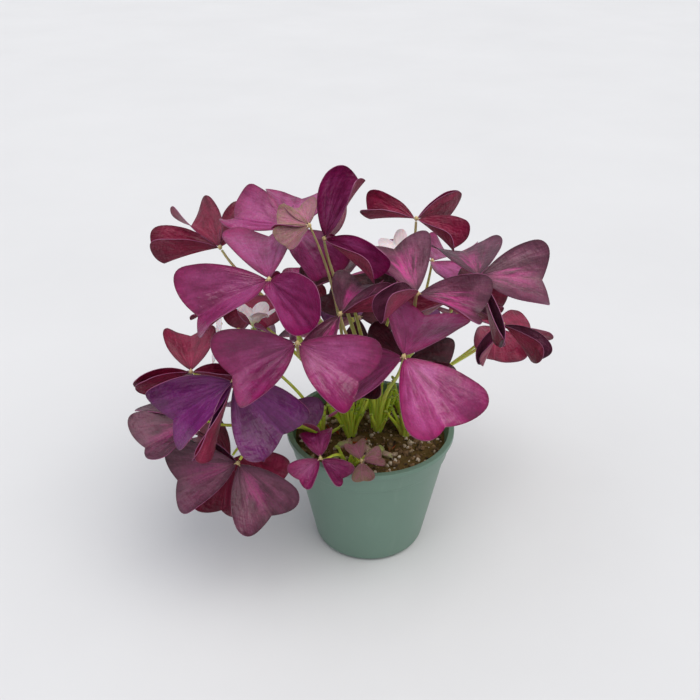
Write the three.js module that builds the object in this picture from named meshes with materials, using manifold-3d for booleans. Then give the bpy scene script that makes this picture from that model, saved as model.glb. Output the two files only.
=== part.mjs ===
// Purple shamrock, Oxalis triangularis, growing in a four inch nursery pot.
// Millimetres, +Z up. The origin is the centre of the underside of the pot, and
// -Y is the side that the plant turns its fullest leaves to.

import * as THREE from 'three';
import { mergeVertices } from 'three/addons/utils/BufferGeometryUtils.js';
import Module from 'manifold-3d';

const wasm = await Module();
wasm.setup();

// ---- driving dimensions -------------------------------------------------

const POT_HEIGHT = 82;
const POT_RIM_RADIUS = 52;
const POT_BASE_RADIUS = 34.5;
const POT_WALL = 1.6;
const POT_FLOOR = 2.4;
const POT_EDGE_ROUND = 4;
const COLLAR_HEIGHT = 15;
const COLLAR_STEP = 0.9;
const LIP_HEIGHT = 3.2;
const LIP_STEP = 0.9;
const POT_SIDES = 48;
const EDGE_CHAMFER = 0.8;
const FLOOR_CORNER = 2;
const ROUND_STEPS = 4;
const DRAIN_COUNT = 6;
const DRAIN_RADIUS = 3.5;
const DRAIN_CIRCLE = 24;
const HOLE_SIDES = 12;

const GAP = 0.3;
const SOIL_TOP = 72.5;
const MOUND_HEIGHT = 1.3;
const MOUND_SPACING = 5.5;
const RIPPLE_SPACING = 3.8;
const RIPPLE_SHARE = 0.7;
const SOIL_RINGS = 7;
const SOIL_SIDES = 30;
const SOIL_SHOULDER = 3;

const CORM_RADIUS = 4.6;
const CORM_HEIGHT = 13;
const CORM_SINK = 1.5;
const CORM_ROOM = 1.4;
const CORM_SIDES = 8;
const CORM_BANDS = 6;
const CROWN_DEPTH = 3;
const CROWN_RADIUS = 2.2;

const STALK_RADIUS = 0.85;
const STALK_SIDES = 5;
const STALK_STEPS = 8;
const KNOB_RADIUS = 1.7;
const LEAST_RISE = 45;
const RISE_UPRIGHT = 0.55;
const START_LEAN = 0.06;
const ARRIVAL_LEAN = 0.22;

const BLADE = 0.7;
const LEAST_LEAN = 0.5;
const PEDICEL_RADIUS = 0.6;
const PEDICEL_STEPS = 3;
const PEDICEL_ARCH = 1;
const FORK_RADIUS = 1.2;
const CALYX = 3.4;
const CALYX_SIDES = 6;
const CALYX_BANDS = 4;

const PETAL = 0.6;
const PETALS = 5;
const PETAL_STEPS = 4;
const PETAL_RINGS = [0.08, 0.4, 0.72, 1];
const PETAL_DIP = 0.38;
const PETAL_FLARE = 0.6;
const THROAT_RADIUS = 1.3;
const LEAFLET_START = 1;
const DROOP = 15;
const LEAFLET_NOTCH = 0.93;
const LOBE_HALF_WIDTH = 0.59;
const CUP = 10;

const COLOURS = {
  pot: { color: '#6f8f80', roughness: 0.42, metalness: 0 },
  soil: { color: '#3a2c22', roughness: 0.95, metalness: 0 },
  stalk: { color: '#a9b868', roughness: 0.5, metalness: 0 },
  magenta: { color: '#8f2f6d', roughness: 0.55, metalness: 0 },
  violet: { color: '#69246b', roughness: 0.55, metalness: 0 },
  dusk: { color: '#6f4560', roughness: 0.6, metalness: 0 },
  crimson: { color: '#6b1432', roughness: 0.6, metalness: 0 },
  young: { color: '#9a6a72', roughness: 0.6, metalness: 0 },
  petal: { color: '#ead9de', roughness: 0.6, metalness: 0 },
};

// ---- where things stand ---------------------------------------------------

// Corms in the soil. Each sends up the stalks of its own leaves and flowers.
const CLUSTERS = {
  west: { x: -30, y: 2 },
  northwest: { x: -22, y: 24 },
  middle_left: { x: -12, y: 4 },
  middle: { x: 5, y: 6 },
  east: { x: 22, y: 4 },
  northeast: { x: 22, y: 24 },
  north: { x: 0, y: 30 },
  front: { x: -14, y: -28 },
};

// Each leaf: its corm, the hub where its leaflets meet, and the colour of its blades.
// `lean` is the heading and angle that the whole leaf tips to, and `size` the length
// of its leaflets. Each leaflet has its turn about the stalk, its hang below the
// leaf's plane and the upward fold of its halves. Angles are in degrees. `bow` pushes
// the middle of the stalk aside and `reach` sets how high over the hub it arrives.
const LEAVES = [
  { name: 'upper_left', corm: 'middle_left', colour: 'magenta', hub: [-55, -30, 195],
    bow: [12, 12], reach: -30, lean: [252, 40], size: 44,
    leaflets: [[97, 20, 16], [203, -10, 22], [304, -14, 48]] },
  { name: 'front_middle', corm: 'middle_left', colour: 'magenta', hub: [-40, -50, 168],
    bow: [-8, 6], reach: -30, lean: [272, 50], size: 40,
    leaflets: [[207, 0, 10], [329, 0, 10], [130, 70, 50]] },
  { name: 'front_right', corm: 'middle', colour: 'magenta', hub: [16, -45, 157],
    bow: [0, 0], reach: -30, lean: [285, 20], size: 46,
    leaflets: [[303, 11, 10], [70, 6, 8], [186, 44, 14]] },
  { name: 'upper_right', corm: 'east', colour: 'dusk', hub: [24, -20, 182],
    bow: [2, 22], reach: -6, lean: [270, 25], size: 36,
    leaflets: [[110, -6, 12], [340, 0, 30], [232, -20, 60]] },
  { name: 'far_right', corm: 'east', colour: 'dusk', hub: [60, 0, 183],
    bow: [0, 0], reach: -28, lean: [270, 42], size: 38,
    leaflets: [[98, 36, 5], [358, -2, 6], [284, 16, 72]] },
  { name: 'low_right', corm: 'northeast', colour: 'dusk', hub: [79, 14, 145],
    bow: [0, 0], reach: -28, lean: [300, 10], size: 29,
    leaflets: [[125, 20, 40], [240, 30, 66], [318, 24, 56]] },
  { name: 'inner_right', corm: 'east', colour: 'crimson', hub: [50, 16, 162],
    bow: [0, 0], reach: -28, lean: [260, 10], size: 27,
    leaflets: [[45, 5, 15], [340, 5, 30], [200, 20, 40]] },
  { name: 'centre', corm: 'middle', colour: 'dusk', hub: [-18, -25, 172],
    bow: [0, 0], reach: -30, lean: [270, 5], size: 28,
    leaflets: [[62, -16, 8], [14, 0, 54], [244, 36, 44]] },
  { name: 'top_young', corm: 'middle_left', colour: 'young', hub: [-34, -12, 218],
    bow: [2, 16], reach: -26, lean: [270, 20], size: 18,
    leaflets: [[112, 0, 10], [168, 0, 15], [225, 5, 20]] },
  { name: 'top_left', corm: 'northwest', colour: 'magenta', hub: [-46, 36, 197],
    bow: [0, 0], reach: -26, lean: [270, 15], size: 39,
    leaflets: [[85, 0, 5], [165, -8, 10], [300, 12, 25]] },
  { name: 'top_middle', corm: 'middle', colour: 'magenta', hub: [-27, 4, 204],
    bow: [-4, 4], reach: -28, lean: [270, 30], size: 38,
    leaflets: [[46, -44, 46], [320, 5, 54], [78, 42, 56]] },
  { name: 'top_right', corm: 'northeast', colour: 'crimson', hub: [26, 32, 205],
    bow: [0, 0], reach: -30, lean: [270, 15], size: 29,
    leaflets: [[36, 14, 74], [322, 14, 40], [166, 4, 40]] },
  { name: 'middle_shaded', corm: 'middle', colour: 'crimson', hub: [-14, 22, 173],
    bow: [0, 0], reach: -30, lean: [270, 5], size: 26,
    leaflets: [[100, 5, 15], [190, 10, 20], [325, 15, 20]] },
  { name: 'back_left', corm: 'northwest', colour: 'crimson', hub: [-90, 34, 186],
    bow: [0, 0], reach: -28, lean: [270, 5], size: 36,
    leaflets: [[192, 5, 50], [128, -8, 30], [60, 0, 35]] },
  { name: 'left_shaded', corm: 'northwest', colour: 'crimson', hub: [-80, 32, 154],
    bow: [0, 0], reach: -26, lean: [240, 10], size: 30,
    leaflets: [[190, 10, 15], [70, 10, 15], [310, 10, 15]] },
  { name: 'far_left', corm: 'west', colour: 'crimson', hub: [-108, 0, 120],
    bow: [0, 6], reach: -16, lean: [270, 20], size: 30,
    leaflets: [[97, -6, 5], [204, 10, 66], [345, 6, 60]] },
  { name: 'left_front', corm: 'west', colour: 'violet', hub: [-76, -42, 140],
    bow: [0, 0], reach: -20, lean: [262, 52], size: 42,
    leaflets: [[209, -4, 24], [246, 14, 70], [309, 2, 10]] },
  { name: 'left_outer', corm: 'west', colour: 'dusk', hub: [-98, -28, 105],
    bow: [0, 0], reach: -16, lean: [240, 12], size: 38,
    leaflets: [[212, -6, 8], [140, 0, 10], [75, 22, 15]] },
  { name: 'left_low', corm: 'west', colour: 'dusk', hub: [-76, -50, 90],
    bow: [0, 0], reach: 14, lean: [270, 48], size: 37,
    leaflets: [[303, 2, 10], [196, -6, 8], [150, 50, 62]] },
  { name: 'left_lowest', corm: 'west', colour: 'crimson', hub: [-84, -24, 74],
    bow: [0, 0], reach: 20, lean: [250, 20], size: 33,
    leaflets: [[255, 20, 25], [140, 0, 15], [325, 10, 20]] },
  { name: 'left_inner', corm: 'west', colour: 'violet', hub: [-58, -34, 112],
    bow: [0, 0], reach: -10, lean: [290, 10], size: 28,
    leaflets: [[355, 5, 20], [260, 20, 45], [140, 10, 15]] },
  { name: 'rim_small', corm: 'front', colour: 'magenta', hub: [-29, -56, 98],
    bow: [0, 0], reach: -8, lean: [270, 30], size: 17,
    leaflets: [[100, 4, 5], [225, 5, 10], [322, 14, 30]] },
  { name: 'seedling', corm: 'front', colour: 'young', hub: [-6, -44, 87],
    bow: [0, 0], reach: -4, lean: [270, 20], size: 12,
    leaflets: [[275, 5, 5], [110, -5, 5], [15, 0, 5]] },
  { name: 'front_under', corm: 'middle', colour: 'crimson', hub: [-2, -13, 133],
    bow: [0, 0], reach: -28, lean: [250, 10], size: 22,
    leaflets: [[262, 16, 20], [186, 30, 62], [30, 14, 64]] },
  { name: 'middle_deep', corm: 'east', colour: 'crimson', hub: [20, -14, 136],
    bow: [0, 0], reach: -26, lean: [270, 20], size: 26,
    leaflets: [[170, -30, 12], [0, 0, 25], [285, 24, 30]] },
  { name: 'middle_back', corm: 'north', colour: 'crimson', hub: [-7, 32, 140],
    bow: [0, 0], reach: -24, lean: [270, 55], size: 26,
    leaflets: [[140, 6, 16], [12, 19, 12], [262, 4, 30]] },
  { name: 'rear_left', corm: 'northwest', colour: 'crimson', hub: [-62, 64, 136],
    bow: [0, 0], reach: -24, lean: [120, 10], size: 32,
    leaflets: [[115, 5, 15], [0, 10, 15], [225, 15, 15]] },
  { name: 'rear_middle', corm: 'north', colour: 'magenta', hub: [-17, 67, 151],
    bow: [0, 0], reach: -24, lean: [95, 10], size: 36,
    leaflets: [[100, 0, 15], [195, 10, 20], [354, 10, 15]] },
  { name: 'rear_right', corm: 'northeast', colour: 'magenta', hub: [40, 64, 164],
    bow: [0, 0], reach: -24, lean: [70, 10], size: 36,
    leaflets: [[60, 0, 15], [170, 0, 15], [300, 10, 15]] },
  { name: 'rear_far_right', corm: 'northeast', colour: 'crimson', hub: [82, 54, 122],
    bow: [0, 0], reach: -18, lean: [20, 15], size: 36,
    leaflets: [[25, 5, 15], [145, 5, 15], [265, 10, 15]] },
  { name: 'rear_low_middle', corm: 'north', colour: 'violet', hub: [8, 86, 114],
    bow: [0, 0], reach: -4, lean: [90, 15], size: 37,
    leaflets: [[90, 5, 15], [210, 5, 15], [330, 5, 15]] },
  { name: 'rear_low_left', corm: 'north', colour: 'dusk', hub: [-64, 78, 100],
    bow: [0, 0], reach: 0, lean: [135, 15], size: 36,
    leaflets: [[135, 5, 15], [15, 10, 15], [255, 5, 15]] },
];

// Flower heads: the corm, the point where the flower stalks part, the blooms by
// the top of their green cup and the way they face, and the closed buds.
const SPRAYS = [
  { corm: 'west', fork: [-70, -4, 146], bow: [0, 0], reach: -30,
    blooms: [
      { name: 'left_tall', place: [-68, -4, 153], heading: 60, pitch: 75, open: 45, length: 17 },
      { name: 'left_side', place: [-87, 3, 140], heading: 190, pitch: 15, open: 70, length: 14 },
    ],
    buds: [
      { place: [-76, -7, 152], heading: 200, pitch: 50 },
      { place: [-62, -8, 152], heading: 330, pitch: 50 },
    ] },
  { corm: 'north', fork: [17, 24, 173], bow: [0, 0], reach: -30,
    blooms: [
      { name: 'right_tall', place: [18, 24, 183], heading: 200, pitch: 70, open: 40, length: 17 },
    ],
    buds: [{ place: [10, 21, 181], heading: 250, pitch: 60 }] },
];

// ---- solids -------------------------------------------------------------

function toSolid(geometry) {
  const bare = geometry.clone();
  bare.deleteAttribute('normal');
  bare.deleteAttribute('uv');
  const merged = mergeVertices(bare, 1e-3);
  return new wasm.Manifold(new wasm.Mesh({
    numProp: 3,
    vertProperties: new Float32Array(merged.attributes.position.array),
    triVerts: new Uint32Array(merged.index.array),
  }));
}

function toGeometry(solid) {
  const mesh = solid.getMesh();
  const geometry = new THREE.BufferGeometry();
  geometry.setAttribute('position', new THREE.BufferAttribute(mesh.vertProperties, 3));
  geometry.setIndex(new THREE.BufferAttribute(mesh.triVerts, 1));
  geometry.computeVertexNormals();
  return geometry;
}

function join(geometries) {
  return geometries.map(toSolid).reduce((whole, piece) => whole.add(piece));
}

// ---- pot and soil -------------------------------------------------------

// Outer radius of the plain wall at a height, without collar and lip.
function wallRadius(z) {
  const top = POT_RIM_RADIUS - COLLAR_STEP - LIP_STEP;
  return POT_BASE_RADIUS + (top - POT_BASE_RADIUS) * z / POT_HEIGHT;
}

function makePot() {
  const profile = [new THREE.Vector2(0, 0)];
  for (let i = 0; i <= ROUND_STEPS; i++) {
    const turn = Math.PI / 2 * i / ROUND_STEPS;
    profile.push(new THREE.Vector2(
      wallRadius(POT_EDGE_ROUND) - POT_EDGE_ROUND * (1 - Math.sin(turn)),
      POT_EDGE_ROUND * (1 - Math.cos(turn)),
    ));
  }
  const collar = POT_HEIGHT - COLLAR_HEIGHT;
  const lip = POT_HEIGHT - LIP_HEIGHT;
  profile.push(new THREE.Vector2(wallRadius(collar - COLLAR_STEP), collar - COLLAR_STEP));
  profile.push(new THREE.Vector2(wallRadius(collar) + COLLAR_STEP, collar));
  profile.push(new THREE.Vector2(wallRadius(lip - EDGE_CHAMFER) + COLLAR_STEP, lip - EDGE_CHAMFER));
  profile.push(new THREE.Vector2(POT_RIM_RADIUS, lip));
  profile.push(new THREE.Vector2(POT_RIM_RADIUS, POT_HEIGHT - EDGE_CHAMFER));
  profile.push(new THREE.Vector2(POT_RIM_RADIUS - EDGE_CHAMFER, POT_HEIGHT));
  profile.push(new THREE.Vector2(wallRadius(POT_HEIGHT) - POT_WALL, POT_HEIGHT));
  profile.push(new THREE.Vector2(wallRadius(POT_FLOOR + FLOOR_CORNER) - POT_WALL, POT_FLOOR + FLOOR_CORNER));
  profile.push(new THREE.Vector2(wallRadius(POT_FLOOR) - POT_WALL - FLOOR_CORNER, POT_FLOOR));
  profile.push(new THREE.Vector2(0, POT_FLOOR));
  const body = new THREE.LatheGeometry(profile, POT_SIDES);
  body.rotateX(Math.PI / 2);
  let pot = toSolid(body);
  for (let i = 0; i < DRAIN_COUNT; i++) {
    const turn = 2 * Math.PI * (i + 0.5) / DRAIN_COUNT;
    const drain = new THREE.CylinderGeometry(DRAIN_RADIUS, DRAIN_RADIUS, 4 * POT_FLOOR, HOLE_SIDES);
    drain.rotateX(Math.PI / 2);
    drain.translate(DRAIN_CIRCLE * Math.cos(turn), DRAIN_CIRCLE * Math.sin(turn), 0);
    pot = pot.subtract(toSolid(drain));
  }
  return toGeometry(pot);
}

// Height of the soil's surface: low mounds of loose potting mix, with ripples over them.
function soilHeight(x, y) {
  const mounds = Math.sin(x / MOUND_SPACING + 1) * Math.cos(y / MOUND_SPACING);
  const ripples = RIPPLE_SHARE * Math.sin((y + x / 2) / RIPPLE_SPACING);
  return SOIL_TOP + MOUND_HEIGHT * (mounds + ripples);
}

function makeSoil(clusters) {
  const inner = (z) => wallRadius(z) - POT_WALL - GAP;
  const low = POT_FLOOR + GAP;
  const profile = [new THREE.Vector2(0, low), new THREE.Vector2(inner(low) - FLOOR_CORNER - GAP, low)];
  profile.push(new THREE.Vector2(inner(low + FLOOR_CORNER), low + FLOOR_CORNER + GAP));
  for (let ring = SOIL_RINGS; ring > 0; ring--) {
    profile.push(new THREE.Vector2(inner(SOIL_TOP - SOIL_SHOULDER) * ring / SOIL_RINGS, SOIL_TOP));
  }
  profile.push(new THREE.Vector2(0, SOIL_TOP));
  const body = new THREE.LatheGeometry(profile, SOIL_SIDES);
  body.rotateX(Math.PI / 2);
  const place = body.attributes.position;
  for (let i = 0; i < place.count; i++) {
    if (place.getZ(i) > SOIL_TOP - GAP) {
      place.setZ(i, soilHeight(place.getX(i), place.getY(i)));
    }
  }
  let soil = toSolid(body);
  for (const { x, y } of Object.values(clusters)) {
    const radius = CORM_RADIUS + CORM_ROOM;
    const depth = 2 * CORM_HEIGHT;
    const hole = new THREE.CylinderGeometry(radius, radius, depth, HOLE_SIDES).rotateX(Math.PI / 2);
    hole.translate(x, y, cormBase() - GAP + depth / 2);
    soil = soil.subtract(toSolid(hole));
  }
  return toGeometry(soil);
}

function cormBase() {
  return SOIL_TOP - CORM_SINK - CORM_HEIGHT;
}

// ---- stalks -------------------------------------------------------------

// A stalk of round section along a curve.
function stalk(curve, radius = STALK_RADIUS, steps = STALK_STEPS) {
  const section = new THREE.Shape();
  for (let i = 0; i < STALK_SIDES; i++) {
    const turn = 2 * Math.PI * i / STALK_SIDES;
    section[i ? 'lineTo' : 'moveTo'](radius * Math.cos(turn), radius * Math.sin(turn));
  }
  section.closePath();
  return new THREE.ExtrudeGeometry(section, { steps, extrudePath: curve, curveSegments: 1 });
}

// The path of a leaf's stalk: up out of the corm's crown, then over to the hub,
// which it meets from below, or from the side where `reach` lifts it.
function stalkPath(cluster, hub, bow, reach) {
  const turn = Math.atan2(hub[1] - cluster.y, hub[0] - cluster.x);
  const foot = new THREE.Vector3(
    cluster.x + CROWN_RADIUS * Math.cos(turn),
    cluster.y + CROWN_RADIUS * Math.sin(turn),
    cormBase() + CORM_HEIGHT - CROWN_DEPTH,
  );
  const top = new THREE.Vector3(...hub);
  const rise = Math.max(top.z - foot.z, LEAST_RISE);
  const across = new THREE.Vector3(top.x - foot.x, top.y - foot.y, 0);
  const lower = foot.clone().addScaledVector(across, START_LEAN);
  lower.z += RISE_UPRIGHT * rise;
  const upper = top.clone().addScaledVector(across, -ARRIVAL_LEAN);
  upper.z += reach;
  for (const point of [lower, upper]) {
    point.x += bow[0];
    point.y += bow[1];
  }
  const arrival = top.clone().sub(upper).normalize();
  const end = top.clone().addScaledVector(arrival, -(KNOB_RADIUS + GAP));
  return new THREE.CubicBezierCurve3(foot, lower, upper, end);
}

function makeCorm({ x, y }) {
  const corm = new THREE.SphereGeometry(1, CORM_SIDES, CORM_BANDS);
  corm.rotateX(Math.PI / 2);
  corm.scale(CORM_RADIUS, CORM_RADIUS, CORM_HEIGHT / 2);
  corm.translate(x, y, cormBase() + CORM_HEIGHT / 2);
  return corm;
}

// ---- leaflets -----------------------------------------------------------

// Half of a leaflet's outline, a broad lobe, for a leaflet one unit long.
const EDGE = new THREE.CubicBezierCurve(
  new THREE.Vector2(0, 0),
  new THREE.Vector2(0.14, 0.08),
  new THREE.Vector2(0.48, 0.4),
  new THREE.Vector2(LOBE_HALF_WIDTH, 0.75),
);
const LOBE = new THREE.CubicBezierCurve(
  new THREE.Vector2(LOBE_HALF_WIDTH, 0.75),
  new THREE.Vector2(0.65, 0.98),
  new THREE.Vector2(0.3, 1.06),
  new THREE.Vector2(0, LEAFLET_NOTCH),
);
const RUNGS = [0.25, 0.5, 0.66, 0.84];

function outline(t) {
  return t < 0.5 ? EDGE.getPoint(2 * t) : LOBE.getPoint(2 * t - 1);
}

// A point of a leaflet that is one unit long: `side` runs from -1, its left edge,
// over 0, its midrib, to 1, and `t` from the stalk to the notch.
function leafletPoint(side, t, fold) {
  const edge = outline(t);
  const across = edge.x * Math.abs(side);
  const along = LEAFLET_NOTCH * t + (edge.y - LEAFLET_NOTCH * t) * Math.abs(side);
  const bend = THREE.MathUtils.degToRad(DROOP);
  const tilt = THREE.MathUtils.degToRad(fold + Math.sign(fold || 1) * CUP * across / LOBE_HALF_WIDTH);
  const lift = across * Math.sin(tilt);
  const turned = bend * along;
  return new THREE.Vector3(
    across * Math.cos(tilt) * Math.sign(side),
    Math.sin(turned) / bend + lift * Math.sin(turned),
    (Math.cos(turned) - 1) / bend + lift * Math.cos(turned),
  );
}

// A thin solid over a net of triangles: two skins, split alike, and a wall along
// the rim, which runs anticlockwise as seen from above.
function sheet(points, faces, rim, thickness) {
  const slopes = faces.map((face) => new THREE.Triangle(...face.map((i) => points[i]))
    .getNormal(new THREE.Vector3()));
  const normals = points.map(() => new THREE.Vector3());
  faces.forEach((face, i) => face.forEach((corner) => normals[corner].add(slopes[i])));
  normals.forEach((normal) => normal.normalize());
  const lean = points.map(() => 1);
  faces.forEach((face, i) => face.forEach((corner) => {
    lean[corner] = Math.min(lean[corner], slopes[i].dot(normals[corner]));
  }));
  const skin = (offset) => points.map((point, i) => point.clone()
    .addScaledVector(normals[i], offset / Math.max(lean[i], LEAST_LEAN)));
  const under = points.length;
  const index = faces.flat();
  faces.forEach(([a, b, c]) => index.push(a + under, c + under, b + under));
  rim.forEach((a, i) => {
    const b = rim[(i + 1) % rim.length];
    index.push(a, a + under, b, b, a + under, b + under);
  });
  const geometry = new THREE.BufferGeometry();
  geometry.setFromPoints([...skin(thickness / 2), ...skin(-thickness / 2)]);
  geometry.setIndex(index);
  return geometry;
}

// A leaflet's blade, level and pointing along +Y from the hub at the origin. Its net
// has a root, rungs from edge to midrib to edge, and the notch at its tip.
function leaflet(size, fold) {
  const point = (side, t) => leafletPoint(side, t, fold).multiplyScalar(size)
    .add(new THREE.Vector3(0, LEAFLET_START, 0));
  const rungs = RUNGS.map((t) => [-1, 0, 1].map((side) => point(side, t)));
  const points = [point(0, 0), ...rungs.flat(), point(0, 1)];
  const notch = points.length - 1;
  const [left, rib, right] = [1, 2, 3];
  const last = 3 * (RUNGS.length - 1);
  const faces = [
    [0, rib, left],
    [0, right, rib],
    [notch, left + last, rib + last],
    [notch, rib + last, right + last],
  ];
  for (let low = 0; low < last; low += 3) {
    const high = low + 3;
    faces.push([left + low, rib + low, left + high], [rib + low, rib + high, left + high]);
    faces.push([rib + low, right + low, right + high], [rib + low, right + high, rib + high]);
  }
  const rim = [
    0,
    ...RUNGS.map((_, i) => right + 3 * i),
    notch,
    ...RUNGS.map((_, i) => left + last - 3 * i),
  ];
  return sheet(points, faces, rim, BLADE);
}

// The blades of one leaf: its leaflets, each hung and turned about the stalk, and the
// small knob where they meet. The whole leaf then leans to one side.
function makeBlades({ hub, lean, size, leaflets }) {
  const { degToRad } = THREE.MathUtils;
  const blades = leaflets.map(([turn, hang, fold]) => leaflet(size, fold)
    .rotateX(-degToRad(hang))
    .rotateZ(degToRad(turn - 90)));
  const [toward, angle] = lean.map(degToRad);
  const hinge = new THREE.Vector3(-Math.sin(toward), Math.cos(toward), 0);
  const tip = new THREE.Matrix4().makeRotationAxis(hinge, angle);
  const pieces = [new THREE.IcosahedronGeometry(KNOB_RADIUS), ...blades];
  return toGeometry(join(pieces.map((piece) => piece.applyMatrix4(tip).translate(...hub))));
}

// ---- flowers ------------------------------------------------------------

// A funnel of five petals, standing on the origin along +Z and then aimed. Rings
// of points run from the throat to the rim, which dips between the petals.
function makeCorolla({ place, heading, pitch, open, length }) {
  const around = PETALS * PETAL_STEPS;
  const point = (ring, step) => {
    const turn = 2 * Math.PI * step / around;
    const dip = 1 - Math.abs(Math.cos(turn * PETALS / 2));
    const reach = length * ring * (1 - PETAL_DIP * dip * ring);
    const lean = THREE.MathUtils.degToRad(open * (1 - PETAL_FLARE * (1 - ring)));
    const out = THROAT_RADIUS + reach * Math.sin(lean);
    return new THREE.Vector3(out * Math.cos(turn), out * Math.sin(turn), reach * Math.cos(lean));
  };
  const points = [new THREE.Vector3(0, 0, 0)];
  for (const ring of PETAL_RINGS) {
    for (let step = 0; step < around; step++) points.push(point(ring, step));
  }
  const faces = [];
  for (let step = 0; step < around; step++) {
    const next = (step + 1) % around;
    faces.push([0, 1 + step, 1 + next]);
    for (let low = 1; low < points.length - around; low += around) {
      const high = low + around;
      faces.push([low + step, high + step, low + next], [high + step, high + next, low + next]);
    }
  }
  const rim = Array.from({ length: around }, (_, step) => points.length - around + step);
  return aim(sheet(points, faces, rim, PETAL), place, heading, pitch);
}

// Turns a shape that stands on the origin along +Z to a heading and pitch.
function aim(geometry, place, heading, pitch) {
  const [a, e] = [heading, pitch].map(THREE.MathUtils.degToRad);
  const along = new THREE.Vector3(Math.cos(e) * Math.cos(a), Math.cos(e) * Math.sin(a), Math.sin(e));
  geometry.applyQuaternion(new THREE.Quaternion().setFromUnitVectors(new THREE.Vector3(0, 0, 1), along));
  return geometry.translate(...place);
}

// A flower's green cup, or a closed bud where it is long, on its own thin stalk from
// the fork. Its top stays a gap below the flower.
function makeCup(fork, { place, heading, pitch }, length) {
  const radius = THROAT_RADIUS + GAP;
  const clear = GAP + PETAL;
  const cup = new THREE.SphereGeometry(1, CALYX_SIDES, CALYX_BANDS).rotateX(Math.PI / 2);
  cup.scale(radius, radius, length / 2).translate(0, 0, -length / 2 - clear);
  aim(cup, place, heading, pitch);
  const foot = new THREE.Vector3(...fork);
  const top = new THREE.Vector3();
  cup.computeBoundingBox();
  cup.boundingBox.getCenter(top);
  const middle = foot.clone().lerp(top, 0.5).add(new THREE.Vector3(0, 0, PEDICEL_ARCH));
  const arch = new THREE.QuadraticBezierCurve3(foot, middle, top);
  return [cup, stalk(arch, PEDICEL_RADIUS, PEDICEL_STEPS)];
}

// ---- assembly -----------------------------------------------------------

// Everything green that grows from one corm, joined at its crown.
function makeStalks(name) {
  const cluster = CLUSTERS[name];
  const pieces = [makeCorm(cluster)];
  for (const leaf of LEAVES.filter((other) => other.corm === name)) {
    pieces.push(stalk(stalkPath(cluster, leaf.hub, leaf.bow, leaf.reach)));
  }
  for (const spray of SPRAYS.filter((other) => other.corm === name)) {
    const path = stalkPath(cluster, spray.fork, spray.bow, spray.reach);
    path.v3.set(...spray.fork);
    pieces.push(stalk(path));
    const knob = new THREE.SphereGeometry(FORK_RADIUS, CALYX_SIDES, CALYX_BANDS);
    pieces.push(knob.translate(...spray.fork));
    for (const bloom of spray.blooms) pieces.push(...makeCup(spray.fork, bloom, CALYX));
    for (const bud of spray.buds) pieces.push(...makeCup(spray.fork, bud, 2 * CALYX));
  }
  return toGeometry(join(pieces));
}

function addPiece(group, name, geometry, colour) {
  const piece = new THREE.Mesh(geometry, new THREE.MeshStandardMaterial(COLOURS[colour]));
  piece.name = name;
  group.add(piece);
}

const plant = new THREE.Group();
addPiece(plant, 'pot', makePot(), 'pot');
addPiece(plant, 'soil', makeSoil(CLUSTERS), 'soil');
for (const name of Object.keys(CLUSTERS)) addPiece(plant, `stalks_${name}`, makeStalks(name), 'stalk');
for (const leaf of LEAVES) addPiece(plant, `leaf_${leaf.name}`, makeBlades(leaf), leaf.colour);
for (const { blooms } of SPRAYS) {
  for (const bloom of blooms) addPiece(plant, `bloom_${bloom.name}`, makeCorolla(bloom), 'petal');
}

export default plant;
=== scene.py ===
"""Purple shamrock, Oxalis triangularis, growing in a four inch green nursery pot.

Laid out as a Blender add-on: settings with the sizes and colours, an operator for each
group of pieces and one for the stage, and a panel that lists them. Metres, +Z up, with
the origin at the centre of the pot's underside and -Y towards the fullest leaves.
"""

import math
import random
from collections import namedtuple

import bmesh
import bpy
from bpy.props import FloatProperty, FloatVectorProperty, IntProperty, PointerProperty
from mathutils import Matrix, Vector, noise


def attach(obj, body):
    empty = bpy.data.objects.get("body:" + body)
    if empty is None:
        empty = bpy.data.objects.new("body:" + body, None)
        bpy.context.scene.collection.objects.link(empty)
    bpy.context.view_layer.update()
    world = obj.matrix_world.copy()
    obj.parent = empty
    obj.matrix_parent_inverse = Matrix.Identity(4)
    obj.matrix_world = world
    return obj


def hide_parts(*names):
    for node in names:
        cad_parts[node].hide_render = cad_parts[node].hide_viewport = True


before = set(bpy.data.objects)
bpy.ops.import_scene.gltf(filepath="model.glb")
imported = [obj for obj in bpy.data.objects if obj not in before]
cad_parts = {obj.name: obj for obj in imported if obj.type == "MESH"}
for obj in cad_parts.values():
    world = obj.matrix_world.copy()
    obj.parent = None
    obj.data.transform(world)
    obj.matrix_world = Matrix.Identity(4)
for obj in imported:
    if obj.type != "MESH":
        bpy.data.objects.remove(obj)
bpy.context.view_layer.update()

bl_info = {
    "name": "Potted Purple Shamrock",
    "version": (1, 0, 0),
    "blender": (4, 5, 0),
    "location": "View3D > Sidebar > Shamrock",
    "description": "Builds a purple shamrock in its nursery pot, with its soil and flowers",
    "category": "Object",
}

MM = 0.001
WELD = 0.01 * MM
SHARP_ANGLE = math.radians(50)

# ---- pot and soil ---------------------------------------------------------

COLLAR_HEIGHT = 15 * MM
COLLAR_STEP = 0.9 * MM
LIP_HEIGHT = 3.2 * MM
LIP_STEP = 0.9 * MM
EDGE_CHAMFER = 0.8 * MM
FOOT_ROUND = 4 * MM
FLOOR_ROUND = 2 * MM
EDGE_ROUND = 0.4 * MM
ROUND_SEGMENTS = 4
POT_SIDES = 128
DRAIN_COUNT = 6
DRAIN_RADIUS = 3.5 * MM
DRAIN_CIRCLE = 24 * MM
DRAIN_SIDES = 24
SOIL_TOP = 72.5 * MM
SOIL_SLACK = 0.05 * MM
SOIL_GRID = 150
MOUND_HEIGHT = 1.3 * MM
MOUND_SPACING = 5.5 * MM
RIPPLE_SPACING = 3.8 * MM
RIPPLE_SHARE = 0.7
CLOD_HEIGHT = 0.9 * MM
CLODS_PER_METRE = 260
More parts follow.
